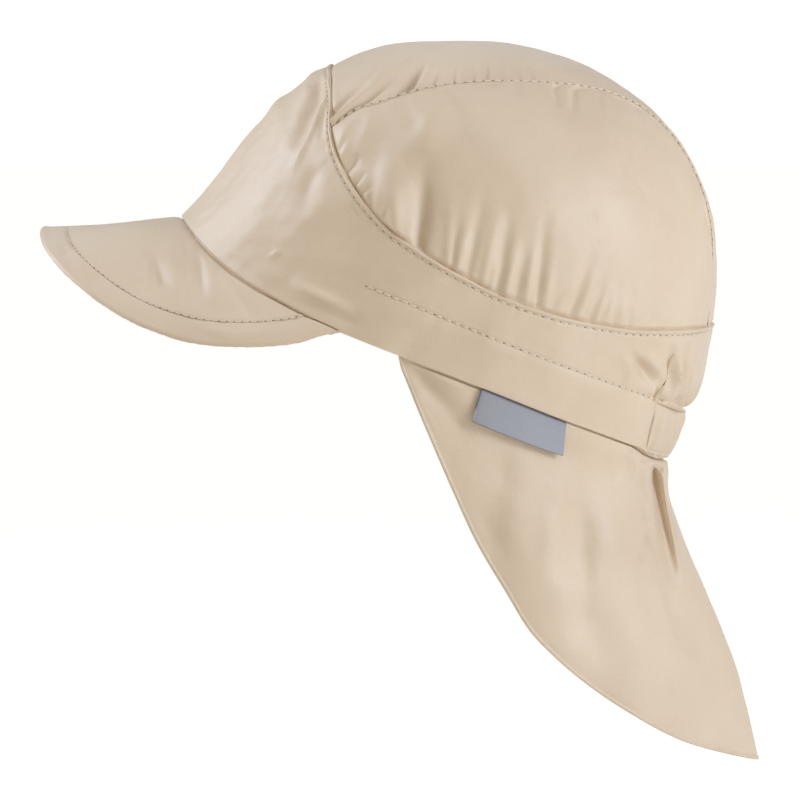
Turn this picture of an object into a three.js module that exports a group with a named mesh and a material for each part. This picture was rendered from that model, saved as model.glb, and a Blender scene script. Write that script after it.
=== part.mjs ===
import * as THREE from 'three';

// Child's legionnaire cap, millimetres. The head opening's centre is the origin and the cap is
// posed as worn: Z up, the peak towards -Y, the wearer's left towards +X. Everything is built in
// the plane of the head opening and the last group tips that plane up at the peak.

// sizes of the crown
const rimLength = 184;
const rimWidth = 146;
const crownHeight = 111.2;
const pitch = 22.4;

// cloth and seams
const cloth = 1.2;
const seamGap = 0.3;

// sizes of the casing at the back
const casingHeight = 16.5;
const casingThickness = 2.4;
const casingTurn = 148;
const casingGathers = 13;
const gatherDepth = 0.6;

// sizes of the peak
const peakLength = 41.2;
const peakThickness = 3;
const peakLift = 12.5;
const peakTurn = 70;

// sizes of the neck flap and its hem
const flapTurn = 83;
const flapRun = 66.5;
const flapDrop = 81.1;
const flapTuck = 1.7;
const flapPinch = 3.8;
const hemWidth = 1.9;
const hemThickness = 2;

// sizes of the side label
const labelTurn = 101.6;
const labelLength = 31;
const labelDrop = 10.7;
const labelThickness = 1;

// depths of the soft folds
const sideFoldDepth = 2.2;
const wallFoldDepth = 1.2;
const flapFoldDepth = 2.6;
const peakFoldDepth = 0.7;

const halfLength = rimLength / 2;
const halfWidth = rimWidth / 2;
const heart = new THREE.Vector3(0, 0.09 * halfLength, 0.3 * crownHeight);

// sections of the crown, level with the head opening: front, back and middle are shares of half the
// opening's length, side is a share of half its width
const crownRows = [
  { height: 0.0, front: 0.995, back: 1.0, side: 1.0, middle: 0.07 },
  { height: 0.12, front: 0.957, back: 1.003, side: 1.012, middle: 0.072 },
  { height: 0.25, front: 0.906, back: 1.006, side: 1.022, middle: 0.075 },
  { height: 0.4, front: 0.853, back: 0.975, side: 1.022, middle: 0.08 },
  { height: 0.55, front: 0.775, back: 0.92, side: 0.985, middle: 0.088 },
  { height: 0.7, front: 0.662, back: 0.842, side: 0.89, middle: 0.098 },
  { height: 0.82, front: 0.52, back: 0.728, side: 0.745, middle: 0.112 },
  { height: 0.91, front: 0.31, back: 0.585, side: 0.56, middle: 0.128 },
  { height: 0.97, front: 0.103, back: 0.41, side: 0.345, middle: 0.145 },
  { height: 1.0, front: -0.163, back: 0.163, side: 0.0, middle: 0.163 },
];

// seam between the wall and the crown panels: turn in degrees from the front, height as a share
const wallSeamRows = [
  { turn: 0, height: 0.707 },
  { turn: 22, height: 0.66 },
  { turn: 34.6, height: 0.593 },
  { turn: 40.4, height: 0.538 },
  { turn: 49.6, height: 0.458 },
  { turn: 59.4, height: 0.387 },
  { turn: 69, height: 0.331 },
  { turn: 78.2, height: 0.303 },
  { turn: 87.7, height: 0.284 },
  { turn: 97.2, height: 0.274 },
  { turn: 111.4, height: 0.283 },
  { turn: 126.8, height: 0.316 },
  { turn: 147, height: 0.374 },
  { turn: 162, height: 0.408 },
  { turn: 180, height: 0.43 },
];

// seam between the top strip and a side panel, from the front end to the back end
const stripSeamRows = [
  { along: 0, turn: 40.4, height: 0.538 },
  { along: 0.055, turn: 43.9, height: 0.613 },
  { along: 0.092, turn: 47.5, height: 0.651 },
  { along: 0.163, turn: 54.1, height: 0.728 },
  { along: 0.233, turn: 61.7, height: 0.79 },
  { along: 0.301, turn: 70.5, height: 0.84 },
  { along: 0.372, turn: 81.4, height: 0.882 },
  { along: 0.45, turn: 96.9, height: 0.918 },
  { along: 0.492, turn: 107.8, height: 0.932 },
  { along: 0.535, turn: 120.7, height: 0.937 },
  { along: 0.584, turn: 135.7, height: 0.934 },
  { along: 0.633, turn: 147, height: 0.914 },
  { along: 0.679, turn: 153.4, height: 0.88 },
  { along: 0.755, turn: 158.8, height: 0.8 },
  { along: 0.83, turn: 161.6, height: 0.7 },
  { along: 0.895, turn: 163, height: 0.6 },
  { along: 1, turn: 164, height: 0.411 },
];

// peak: how high its root sits on the wall, as a share of peakLift, and how far its edge lies out,
// forward and down from that root, as shares of peakLength
const peakRows = [
  { turn: 0, lift: 1, out: 0, forward: 1, down: 0.487 },
  { turn: 9, lift: 0.99, out: 0.121, forward: 0.988, down: 0.525 },
  { turn: 21, lift: 0.82, out: 0.211, forward: 0.944, down: 0.565 },
  { turn: 28.4, lift: 0.65, out: 0.267, forward: 0.857, down: 0.592 },
  { turn: 37.4, lift: 0.42, out: 0.301, forward: 0.684, down: 0.612 },
  { turn: 46, lift: 0.24, out: 0.279, forward: 0.532, down: 0.59 },
  { turn: 52, lift: 0.15, out: 0.235, forward: 0.374, down: 0.53 },
  { turn: 57.4, lift: 0.09, out: 0.184, forward: 0.238, down: 0.42 },
  { turn: 62.5, lift: 0.04, out: 0.124, forward: 0.126, down: 0.27 },
  { turn: 66, lift: 0.02, out: 0.078, forward: 0.063, down: 0.165 },
  { turn: 70, lift: 0.01, out: 0.022, forward: 0.022, down: 0.046 },
];

// free edge of the flap, from its front end on the head opening to the tip at the back: seam is how
// far round the matching point of the sewn edge lies, side, back and down are shares of the span
const flapRows = [
  { along: 0, seam: 0, side: 1, back: 0, down: 0 },
  { along: 0.055, seam: 0.065, side: 0.992, back: 0.051, down: 0.104 },
  { along: 0.153, seam: 0.165, side: 0.97, back: 0.14, down: 0.286 },
  { along: 0.219, seam: 0.22, side: 0.946, back: 0.201, down: 0.407 },
  { along: 0.303, seam: 0.275, side: 0.909, back: 0.28, down: 0.557 },
  { along: 0.392, seam: 0.33, side: 0.875, back: 0.371, down: 0.699 },
  { along: 0.469, seam: 0.38, side: 0.833, back: 0.451, down: 0.817 },
  { along: 0.53, seam: 0.42, side: 0.785, back: 0.52, down: 0.88 },
  { along: 0.626, seam: 0.495, side: 0.675, back: 0.63, down: 0.952 },
  { along: 0.724, seam: 0.59, side: 0.537, back: 0.739, down: 0.999 },
  { along: 0.805, seam: 0.69, side: 0.406, back: 0.825, down: 1.02 },
  { along: 0.877, seam: 0.79, side: 0.269, back: 0.897, down: 1.018 },
  { along: 0.946, seam: 0.905, side: 0.131, back: 0.962, down: 1.007 },
  { along: 0.982, seam: 0.97, side: 0.048, back: 0.99, down: 1.002 },
  { along: 1, seam: 1, side: 0, back: 1, down: 1 },
];

// how the hung cloth leaves the straight line from the sewn edge to the hem, as a share of flapPinch
const hangRows = [
  { along: 0, off: 0 },
  { along: 0.05, off: -0.38 },
  { along: 0.1, off: -0.92 },
  { along: 0.15, off: -1 },
  { along: 0.25, off: -0.8 },
  { along: 0.36, off: -0.42 },
  { along: 0.5, off: -0.08 },
  { along: 0.61, off: 0.2 },
  { along: 0.72, off: 0.48 },
  { along: 0.84, off: 0.4 },
  { along: 0.94, off: 0.2 },
  { along: 1, off: 0 },
];

// gathers that rise from the wall seam into a side panel: along and wide are shares of the seam,
// tall is the share of the panel that they reach up, deep is a share of sideFoldDepth
const sideFolds = [
  { along: 0.13, wide: 0.03, tall: 0.5, deep: -0.45 },
  { along: 0.2, wide: 0.035, tall: 0.8, deep: 0.5 },
  { along: 0.27, wide: 0.035, tall: 0.75, deep: -0.7 },
  { along: 0.38, wide: 0.035, tall: 0.35, deep: 0.35 },
  { along: 0.45, wide: 0.03, tall: 0.35, deep: -0.4 },
  { along: 0.53, wide: 0.03, tall: 0.32, deep: 0.35 },
  { along: 0.6, wide: 0.03, tall: 0.3, deep: -0.35 },
  { along: 0.68, wide: 0.03, tall: 0.28, deep: 0.35 },
  { along: 0.76, wide: 0.03, tall: 0.28, deep: -0.4 },
  { along: 0.85, wide: 0.03, tall: 0.25, deep: 0.3 },
];

// soft dents of the wall: turn and wide in degrees, height and tall as shares of the crown
const wallFolds = [
  { turn: 24, wide: 9, height: 0.45, tall: 0.2, deep: -0.9 },
  { turn: 40, wide: 8, height: 0.16, tall: 0.1, deep: 0.8 },
  { turn: 62, wide: 12, height: 0.13, tall: 0.07, deep: -0.6 },
  { turn: 138, wide: 6, height: 0.24, tall: 0.08, deep: -0.6 },
  { turn: 150, wide: 6, height: 0.27, tall: 0.08, deep: 0.6 },
];

// hanging folds of the flap: along and wide run with the free edge, from and to with the drop
const flapFolds = [
  { along: 0.34, wide: 0.05, from: 0.25, to: 1.05, deep: -0.4 },
  { along: 0.6, wide: 0.04, from: 0.15, to: 0.95, deep: -0.65 },
  { along: 0.7, wide: 0.05, from: 0.2, to: 1.2, deep: 0.6 },
  { along: 0.85, wide: 0.035, from: -0.05, to: 0.75, deep: -1 },
];

// shallow dimples of the peak: turn and wide in degrees on its root
const peakFolds = [
  { turn: 22, wide: 6, deep: -0.7 },
  { turn: 33, wide: 6, deep: 0.7 },
  { turn: 45, wide: 6, deep: -0.8 },
];

// counts of steps
const wallFrontColumns = 7;
const wallSideColumns = 20;
const wallRowCount = 7;
const casingWallColumns = 6;
const stripColumns = 14;
const stripRowCount = 20;
const sideColumns = 34;
const sideRowCount = 7;
const casingColumns = 52;
const casingRowCount = 3;
const peakColumns = 30;
const peakRowCount = 6;
const flapColumns = 52;
const flapRowCount = 11;
const hemColumns = 76;
const labelColumns = 10;

const radians = THREE.MathUtils.degToRad;
const lerp = THREE.MathUtils.lerp;
const clamp = THREE.MathUtils.clamp;

// a smooth curve through one column of a table
function through(rows, key, name) {
  const xs = rows.map((row) => row[key]);
  const ys = rows.map((row) => row[name]);
  const last = xs.length - 1;
  const slopes = xs.map((x, i) => {
    const a = Math.max(i - 1, 0);
    const b = Math.min(i + 1, last);
    if (b - a < 2) return (ys[b] - ys[a]) / (xs[b] - xs[a]);
    const before = (ys[i] - ys[a]) / (xs[i] - xs[a]);
    const after = (ys[b] - ys[i]) / (xs[b] - xs[i]);
    return (before * (xs[b] - xs[i]) + after * (xs[i] - xs[a])) / (xs[b] - xs[a]);
  });
  return (value) => {
    const x = clamp(value, xs[0], xs[last]);
    let i = 0;
    while (i < last - 1 && x > xs[i + 1]) i += 1;
    const step = xs[i + 1] - xs[i];
    const s = (x - xs[i]) / step;
    const rise = (2 * s ** 3 - 3 * s ** 2 + 1) * ys[i] + (3 * s ** 2 - 2 * s ** 3) * ys[i + 1];
    const lean = (s ** 3 - 2 * s ** 2 + s) * slopes[i] + (s ** 3 - s ** 2) * slopes[i + 1];
    return rise + lean * step;
  };
}

const levelRows = crownRows.map((row) => ({ ...row, level: Math.asin(row.height) }));
const crownFront = through(levelRows, 'level', 'front');
const crownBack = through(levelRows, 'level', 'back');
const crownSide = through(levelRows, 'level', 'side');
const crownMiddle = through(levelRows, 'level', 'middle');
const wallSeam = through(wallSeamRows, 'turn', 'height');
const stripTurn = through(stripSeamRows, 'along', 'turn');
const stripHeight = through(stripSeamRows, 'along', 'height');

function section(height) {
  const level = Math.asin(clamp(height, 0, 1));
  return {
    front: -halfLength * crownFront(level),
    back: halfLength * crownBack(level),
    side: halfWidth * crownSide(level),
    middle: halfLength * crownMiddle(level),
  };
}

// a point of the crown's outside, turn in degrees from the front and height in millimetres
function crownAt(turn, z) {
  const cut = section(z / crownHeight);
  const c = Math.cos(radians(turn));
  const half = c > 0 ? cut.middle - cut.front : cut.back - cut.middle;
  return new THREE.Vector3(cut.side * Math.sin(radians(turn)), cut.middle - half * c, z);
}

function insideCrown(point) {
  if (point.z >= crownHeight) return false;
  const cut = section(point.z / crownHeight);
  const half = point.y < cut.middle ? cut.middle - cut.front : cut.back - cut.middle;
  return (point.x / cut.side) ** 2 + ((point.y - cut.middle) / half) ** 2 < 1;
}

// the crown's outside along the ray from its heart through a point
function onCrown(point) {
  const ray = point.clone().sub(heart).normalize();
  let near = 0;
  let far = 2 * halfLength;
  for (let k = 0; k < 40; k += 1) {
    const mid = (near + far) / 2;
    if (insideCrown(heart.clone().addScaledVector(ray, mid))) near = mid;
    else far = mid;
  }
  return heart.clone().addScaledVector(ray, (near + far) / 2);
}

function crownNormal(point) {
  const ray = point.clone().sub(heart).normalize();
  const aside = new THREE.Vector3(-ray.y, ray.x, 0);
  if (aside.length() < 0.01) aside.set(1, 0, 0);
  aside.normalize();
  const above = ray.clone().cross(aside).normalize();
  const step = 0.6;
  const a = onCrown(point.clone().addScaledVector(aside, step));
  const b = onCrown(point.clone().addScaledVector(aside, -step));
  const c = onCrown(point.clone().addScaledVector(above, step));
  const d = onCrown(point.clone().addScaledVector(above, -step));
  const normal = a.sub(b).cross(c.sub(d)).normalize();
  return normal.dot(ray) < 0 ? normal.negate() : normal;
}

// a closed sheet from two grids of points: outer[i][j] and inner[i][j], a ring closes on itself
function sheetGeometry(outer, inner, ring) {
  const columns = outer.length;
  const rows = outer[0].length;
  const points = [];
  for (const grid of [outer, inner]) {
    for (const column of grid) {
      for (const point of column) points.push(point.x, point.y, point.z);
    }
  }
  const id = (face, i, j) => (face * columns + (i % columns)) * rows + j;
  const faces = [];
  const quad = (a, b, c, d) => faces.push(a, b, c, a, c, d);
  const spans = ring ? columns : columns - 1;
  for (let i = 0; i < spans; i += 1) {
    for (let j = 0; j < rows - 1; j += 1) {
      quad(id(0, i, j), id(0, i + 1, j), id(0, i + 1, j + 1), id(0, i, j + 1));
      quad(id(1, i, j), id(1, i, j + 1), id(1, i + 1, j + 1), id(1, i + 1, j));
    }
    quad(id(0, i, 0), id(1, i, 0), id(1, i + 1, 0), id(0, i + 1, 0));
    quad(id(0, i, rows - 1), id(0, i + 1, rows - 1), id(1, i + 1, rows - 1), id(1, i, rows - 1));
  }
  if (!ring) {
    const end = columns - 1;
    for (let j = 0; j < rows - 1; j += 1) {
      quad(id(0, 0, j), id(0, 0, j + 1), id(1, 0, j + 1), id(1, 0, j));
      quad(id(0, end, j), id(1, end, j), id(1, end, j + 1), id(0, end, j + 1));
    }
  }
  const geometry = new THREE.BufferGeometry();
  geometry.setAttribute('position', new THREE.Float32BufferAttribute(points, 3));
  geometry.setIndex(faces);
  geometry.computeVertexNormals();
  return geometry;
}

// a grid of columns and rows of points from a function of two shares
function grid(columns, rows, place) {
  const out = [];
  for (let i = 0; i <= columns; i += 1) {
    const column = [];
    for (let j = 0; j <= rows; j += 1) column.push(place(i / columns, j / rows));
    out.push(column);
  }
  return out;
}

const bump = (distance) => Math.exp(-(distance ** 2));
const ease = (value) => THREE.MathUtils.smoothstep(value, 0, 1);

// how far down the back the casing starts, and where the peak's root lies on the wall
const gapTurn = THREE.MathUtils.radToDeg(seamGap / halfWidth);
const peakLiftAt = through(peakRows, 'turn', 'lift');
const peakRoot = (turn) => peakLift * peakLiftAt(Math.abs(turn));

function wallFoot(turn) {
  const around = Math.abs(turn);
  if (around > casingTurn) return casingHeight + seamGap;
  if (around > peakTurn) return 0;
  return Math.max(0, peakRoot(turn) - peakThickness);
}

function wallDent(turn, height) {
  let dent = 0;
  for (const fold of wallFolds) {
    const across = bump((Math.abs(turn) - fold.turn) / fold.wide);
    dent += fold.deep * across * bump((height - fold.height) / fold.tall);
  }
  return dent * wallFoldDepth;
}

function wallPoint(turn, share, sink) {
  const top = crownHeight * wallSeam(Math.abs(turn)) - seamGap / 2;
  const z = lerp(wallFoot(turn), top, share);
  const point = crownAt(turn, z);
  const fade = ease(share * 4) * ease((1 - share) * 4);
  return point.addScaledVector(crownNormal(point), wallDent(turn, z / crownHeight) * fade - sink);
}

function wallTurns() {
  const half = [];
  const corner = stripTurn(0);
  for (let i = 0; i < wallFrontColumns; i += 1) half.push((corner * i) / wallFrontColumns);
  for (let i = 0; i <= wallSideColumns; i += 1) {
    half.push(lerp(corner, casingTurn, i / wallSideColumns));
  }
  for (let i = 0; i <= casingWallColumns; i += 1) {
    half.push(lerp(casingTurn + gapTurn, 180, i / casingWallColumns));
  }
  const others = half.slice(1, -1).map((turn) => -turn);
  return [...others.reverse(), ...half];
}

function wallPanel() {
  const turns = wallTurns();
  const shares = Array.from({ length: wallRowCount + 1 }, (_, j) => j / wallRowCount);
  const outer = turns.map((turn) => shares.map((share) => wallPoint(turn, share, 0)));
  const inner = turns.map((turn) => shares.map((share) => wallPoint(turn, share, cloth)));
  return sheetGeometry(outer, inner, true);
}

// the seam that the top strip shares with the side panel on one side, side is 1 or -1
function stripSeam(along, side) {
  const turn = stripTurn(along);
  const blend = bump(along / 0.03) + bump((1 - along) / 0.05);
  const height = lerp(stripHeight(along), wallSeam(turn), Math.min(blend, 1));
  const point = crownAt(turn, height * crownHeight);
  point.x *= side;
  return point;
}

function stripPoint(across, along, sink) {
  const left = stripSeam(along, 1);
  const right = stripSeam(along, -1);
  const inset = seamGap / 2 / left.distanceTo(right);
  const share = lerp(inset, 1 - inset, across);
  const chord = right.lerp(left, share);
  for (const end of [0, 1]) {
    const corner = stripSeam(end, 1);
    const turn = end === 0 ? lerp(-1, 1, share) * stripTurn(0) : 180 - lerp(-1, 1, share) * (180 - stripTurn(1));
    const arc = crownAt(turn, crownHeight * wallSeam(Math.abs(turn > 180 ? 360 - turn : turn)));
    const level = corner.clone();
    level.x *= lerp(-1, 1, share);
    const weight = end === 0 ? 1 - along : along;
    chord.addScaledVector(arc.sub(level), weight);
  }
  const point = onCrown(chord);
  return point.addScaledVector(crownNormal(point), -sink);
}

function topStrip() {
  const inset = seamGap / crownHeight;
  const place = (sink) => (a, b) => stripPoint(a, lerp(inset, 1 - inset, b), sink);
  const outer = grid(stripColumns, stripRowCount, place(0));
  const inner = grid(stripColumns, stripRowCount, place(cloth));
  return sheetGeometry(outer, inner, false);
}

function sideLift(along, up) {
  let lift = 0;
  for (const fold of sideFolds) {
    const lean = fold.along + 0.05 * up;
    lift += fold.deep * bump((along - lean) / fold.wide) * bump(up / fold.tall);
  }
  return lift * sideFoldDepth * ease(up * 9) * ease((1 - up) * 5);
}

function sidePoint(along, up, side, sink) {
  const turn = lerp(stripTurn(0), stripTurn(1), along);
  const low = crownAt(turn, crownHeight * wallSeam(turn));
  const high = stripSeam(along, 1);
  const inset = (0.75 * seamGap) / low.distanceTo(high);
  const point = onCrown(low.lerp(high, lerp(inset, 1 - inset, up)));
  point.addScaledVector(crownNormal(point), sideLift(along, up) - sink);
  point.x *= side;
  return point;
}

function sidePanel(side) {
  const blunt = 0.014;
  const place = (sink) => (a, b) => sidePoint(lerp(blunt, 1 - blunt, a), b, side, sink);
  const outer = grid(sideColumns, sideRowCount, place(0));
  const inner = grid(sideColumns, sideRowCount, place(cloth));
  if (side < 0) return sheetGeometry(outer.reverse(), inner.reverse(), false);
  return sheetGeometry(outer, inner, false);
}

function casingPoint(across, up, sink) {
  const turn = lerp(casingTurn + gapTurn, 360 - casingTurn - gapTurn, across);
  const point = crownAt(turn, casingHeight * up);
  const belly = 0.7 * Math.sin(Math.PI * up);
  const wave = Math.sin(2 * Math.PI * casingGathers * across) * gatherDepth;
  const lift = sink > 0 ? -sink : belly + wave * Math.sin(Math.PI * lerp(0.15, 0.85, up)) - gatherDepth;
  const normal = crownNormal(point);
  normal.z = 0;
  return point.addScaledVector(normal.normalize(), lift);
}

function elasticCasing() {
  const outer = grid(casingColumns, casingRowCount, (a, b) => casingPoint(a, b, 0));
  const inner = grid(casingColumns, casingRowCount, (a, b) => casingPoint(a, b, casingThickness));
  return sheetGeometry(outer, inner, false);
}

const peakOut = through(peakRows, 'turn', 'out');
const peakForward = through(peakRows, 'turn', 'forward');
const peakDown = through(peakRows, 'turn', 'down');

// the peak's upper face: turn along its root, share from the root to its edge
function peakTop(turn, share) {
  const around = Math.abs(turn);
  const root = crownAt(turn, peakRoot(turn));
  root.addScaledVector(crownNormal(root), seamGap);
  const offset = new THREE.Vector3(
    peakLength * peakOut(around) * Math.sign(turn),
    -peakLength * peakForward(around),
    -peakLength * peakDown(around),
  );
  return root.addScaledVector(offset, share);
}

function peakNormal(turn, share) {
  const turnStep = 0.5;
  const t = clamp(turn, turnStep - peakTurn, peakTurn - turnStep);
  const s = clamp(share, 0.05, 0.95);
  const along = peakTop(t + turnStep, s).sub(peakTop(t - turnStep, s));
  const out = peakTop(t, s + 0.05).sub(peakTop(t, s - 0.05));
  return out.cross(along).normalize();
}

function peakPoint(turn, share, under) {
  const point = peakTop(turn, share);
  const normal = peakNormal(turn, share);
  let dimple = 0;
  for (const fold of peakFolds) dimple += fold.deep * bump((Math.abs(turn) - fold.turn) / fold.wide);
  point.addScaledVector(normal, dimple * peakFoldDepth * Math.sin(Math.PI * share));
  if (!under) return point;
  const foot = crownAt(turn, peakRoot(turn) - peakThickness);
  foot.addScaledVector(crownNormal(foot), seamGap);
  const sink = foot.sub(peakTop(turn, 0));
  return point.add(sink.lerp(normal.multiplyScalar(-peakThickness), ease(share * 2.5)));
}

function peak() {
  const reach = peakTurn - 1;
  const outer = grid(peakColumns, peakRowCount, (a, b) => peakPoint(lerp(-reach, reach, a), 1 - b, false));
  const inner = grid(peakColumns, peakRowCount, (a, b) => peakPoint(lerp(-reach, reach, a), 1 - b, true));
  return sheetGeometry(outer, inner, false);
}

const flapSeam = through(flapRows, 'along', 'seam');
const flapSide = through(flapRows, 'along', 'side');
const flapBack = through(flapRows, 'along', 'back');
const flapDown = through(flapRows, 'along', 'down');
const hang = through(hangRows, 'along', 'off');

function flapTop(along) {
  const turn = lerp(flapTurn, 180, flapSeam(along));
  const rim = crownAt(turn, 0);
  const out = crownNormal(rim);
  out.z = 0;
  out.normalize();
  const tuck = lerp(flapTuck, cloth / 2, ease((turn - labelTurn - 18) / 30));
  rim.addScaledVector(out, -tuck);
  rim.z = -seamGap;
  return { rim, out, turn };
}

function flapEdge(along) {
  const front = crownAt(flapTurn, 0);
  return new THREE.Vector3(
    (front.x - flapTuck) * flapSide(along),
    lerp(front.y, halfLength + flapRun, flapBack(along)),
    -seamGap - flapDrop * flapDown(along),
  );
}

// the flap's outer face: round runs from -1 at its right front end to 1 at its left front end
function flapBase(round, down) {
  const along = 1 - Math.abs(round);
  const { rim, out } = flapTop(along);
  const edge = flapEdge(along);
  const length = rim.distanceTo(edge);
  const point = rim.clone().lerp(edge, down);
  const pinch = (flapPinch * length) / (flapRun + flapDrop / 2);
  point.addScaledVector(out, pinch * hang(down) * ease(along * 1.6));
  let fold = 0;
  for (const row of flapFolds) {
    const reach = ease((down - row.from) * 4) * ease((row.to - down) * 4);
    fold += row.deep * reach * bump((along - row.along) / row.wide);
  }
  point.addScaledVector(out, fold * flapFoldDepth * ease(down * 4));
  if (round < 0) point.x *= -1;
  return point;
}

function flapNormal(round, down) {
  const step = 0.01;
  const r = clamp(round, step - 1 + 0.01, 1 - step - 0.01);
  const d = clamp(down, step, 1 - step);
  const across = flapBase(r + step, d).sub(flapBase(r - step, d));
  const fall = flapBase(r, d + step).sub(flapBase(r, d - step));
  return across.cross(fall).normalize();
}

function flapPoint(round, down, sink) {
  return flapBase(round, down).addScaledVector(flapNormal(round, down), -sink);
}

// the share of the drop that a strip of the given width takes up at the free edge
function edgeShare(round, width) {
  const step = 0.01;
  const r = clamp(round, step - 1, 1 - step);
  const run = flapBase(r + step, 1).sub(flapBase(r - step, 1)).normalize();
  const fall = flapBase(round, 1).sub(flapBase(round, 0));
  const across = fall.clone().addScaledVector(run, -fall.dot(run)).length();
  return width / Math.max(across, width);
}

function neckFlap() {
  const reach = 0.965;
  const place = (sink) => (a, b) => {
    const round = lerp(-reach, reach, a);
    return flapPoint(round, lerp(1 - edgeShare(round, hemWidth + seamGap), 0, b), sink);
  };
  const outer = grid(flapColumns, flapRowCount, place(0));
  const inner = grid(flapColumns, flapRowCount, place(cloth));
  return sheetGeometry(outer.reverse(), inner.reverse(), false);
}

function flapHem() {
  const reach = 0.985;
  const outer = [];
  const inner = [];
  const lift = (hemThickness - cloth) / 2;
  for (let i = 0; i <= hemColumns; i += 1) {
    const round = lerp(reach, -reach, i / hemColumns);
    const share = edgeShare(round, hemWidth);
    const low = Math.max(1 - share, 0.03);
    const mid = (1 + low) / 2;
    outer.push([
      flapPoint(round, 1, cloth / 2 - lift),
      flapPoint(round, mid, -lift),
      flapPoint(round, low, 0),
    ]);
    inner.push([
      flapPoint(round, 1, cloth / 2 + lift),
      flapPoint(round, mid, cloth + lift),
      flapPoint(round, low, cloth),
    ]);
  }
  return sheetGeometry(outer, inner, false);
}

// the label hangs on the flap's outer face, its upper edge under the wall's foot
function sideLabel() {
  const girth = Math.PI * Math.sqrt((halfLength ** 2 + halfWidth ** 2) / 2);
  const labelSpan = (180 * labelLength) / girth;
  const seamAt = (turn) => {
    let low = 0;
    let high = 1;
    for (let k = 0; k < 30; k += 1) {
      const mid = (low + high) / 2;
      if (flapSeam(mid) < (turn - flapTurn) / (180 - flapTurn)) low = mid;
      else high = mid;
    }
    return (low + high) / 2;
  };
  const place = (sink) => (a, b) => {
    const along = seamAt(labelTurn + labelSpan * (a + 0.04 * (1 - b) * (1 - a)));
    const length = flapEdge(along).distanceTo(flapTop(along).rim);
    return flapPoint(1 - along, ((1 - b) * labelDrop) / length, sink);
  };
  const outer = grid(labelColumns, 2, place(-seamGap - labelThickness));
  const inner = grid(labelColumns, 2, place(-seamGap));
  return sheetGeometry(outer, inner, false);
}

function material(color, roughness) {
  return new THREE.MeshStandardMaterial({ color, roughness, metalness: 0 });
}

function addPiece(group, name, geometry, finish) {
  const mesh = new THREE.Mesh(geometry, finish);
  mesh.name = name;
  group.add(mesh);
}

const beige = material(0xdccbb2, 0.75);
const beigeDark = material(0xd3c0a4, 0.8);
const grey = material(0x8e8e98, 0.7);

const worn = new THREE.Group();
worn.rotation.x = -radians(pitch);
addPiece(worn, 'wall_panel', wallPanel(), beige);
addPiece(worn, 'top_strip', topStrip(), beige);
addPiece(worn, 'side_panel_left', sidePanel(1), beige);
addPiece(worn, 'side_panel_right', sidePanel(-1), beige);
addPiece(worn, 'elastic_casing', elasticCasing(), beigeDark);
addPiece(worn, 'peak', peak(), beige);
addPiece(worn, 'neck_flap', neckFlap(), beige);
addPiece(worn, 'flap_hem', flapHem(), beigeDark);
addPiece(worn, 'side_label', sideLabel(), grey);

const cap = new THREE.Group();
cap.name = 'legionnaire_cap';
cap.add(worn);

export default cap;
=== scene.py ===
import math
import bpy
import numpy as np
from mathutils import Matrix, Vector


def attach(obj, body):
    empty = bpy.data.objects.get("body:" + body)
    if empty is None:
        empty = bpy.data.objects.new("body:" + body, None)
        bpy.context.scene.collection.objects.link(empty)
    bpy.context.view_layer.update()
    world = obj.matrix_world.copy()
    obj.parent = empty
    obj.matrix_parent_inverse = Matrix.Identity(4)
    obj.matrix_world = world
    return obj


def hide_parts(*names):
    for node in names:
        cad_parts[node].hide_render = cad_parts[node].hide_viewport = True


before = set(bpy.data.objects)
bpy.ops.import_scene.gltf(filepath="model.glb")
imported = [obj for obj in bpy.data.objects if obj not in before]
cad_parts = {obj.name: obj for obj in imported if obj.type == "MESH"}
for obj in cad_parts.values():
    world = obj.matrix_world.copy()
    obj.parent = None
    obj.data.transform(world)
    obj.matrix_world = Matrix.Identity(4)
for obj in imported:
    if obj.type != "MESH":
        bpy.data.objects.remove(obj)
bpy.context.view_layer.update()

print("frame loaded:", len(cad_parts), "nodes")

# lengths are millimetres in the plane of the head opening until place() turns them into metres as worn
crown = {"halfLength": 92.0, "halfWidth": 73.0, "height": 111.2, "pitch": 22.4}
view = {
    "elevation": 3.0, "distance": 1600.0, "pixelsPerMm": 3.0, "back": 3.8, "up": 15.8,
    "frame": 800, "sensor": 36.0,
}
cloth = {"thickness": 0.8, "stitchPitch": 3.1}


def smoothThrough(xs, ys):
    # a smooth curve through points that may be unevenly spaced
    xs = np.asarray(xs, float)
    ys = np.asarray(ys, float)
    steps = np.diff(xs)
    leans = np.diff(ys) / steps
    slopes = np.empty(len(xs))
    slopes[0] = leans[0]
    slopes[-1] = leans[-1]
    slopes[1:-1] = (leans[:-1] * steps[1:] + leans[1:] * steps[:-1]) / (steps[1:] + steps[:-1])

    def value(x):
        x = np.clip(np.asarray(x, float), xs[0], xs[-1])
        i = np.clip(np.searchsorted(xs, x, side="right") - 1, 0, len(xs) - 2)
        s = (x - xs[i]) / steps[i]
        rise = (2 * s**3 - 3 * s**2 + 1) * ys[i] + (3 * s**2 - 2 * s**3) * ys[i + 1]
        lean = (s**3 - 2 * s**2 + s) * slopes[i] + (s**3 - s**2) * slopes[i + 1]
        return rise + lean * steps[i]

    return value


def columns(rows):
    return [np.array(column, float) for column in zip(*rows)]


def ease(x):
    x = np.clip(x, 0, 1)
    return x * x * (3 - 2 * x)


def mix(a, b, share):
    return a + (b - a) * share


def bell(x):
    return np.exp(-(x**2))


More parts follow.
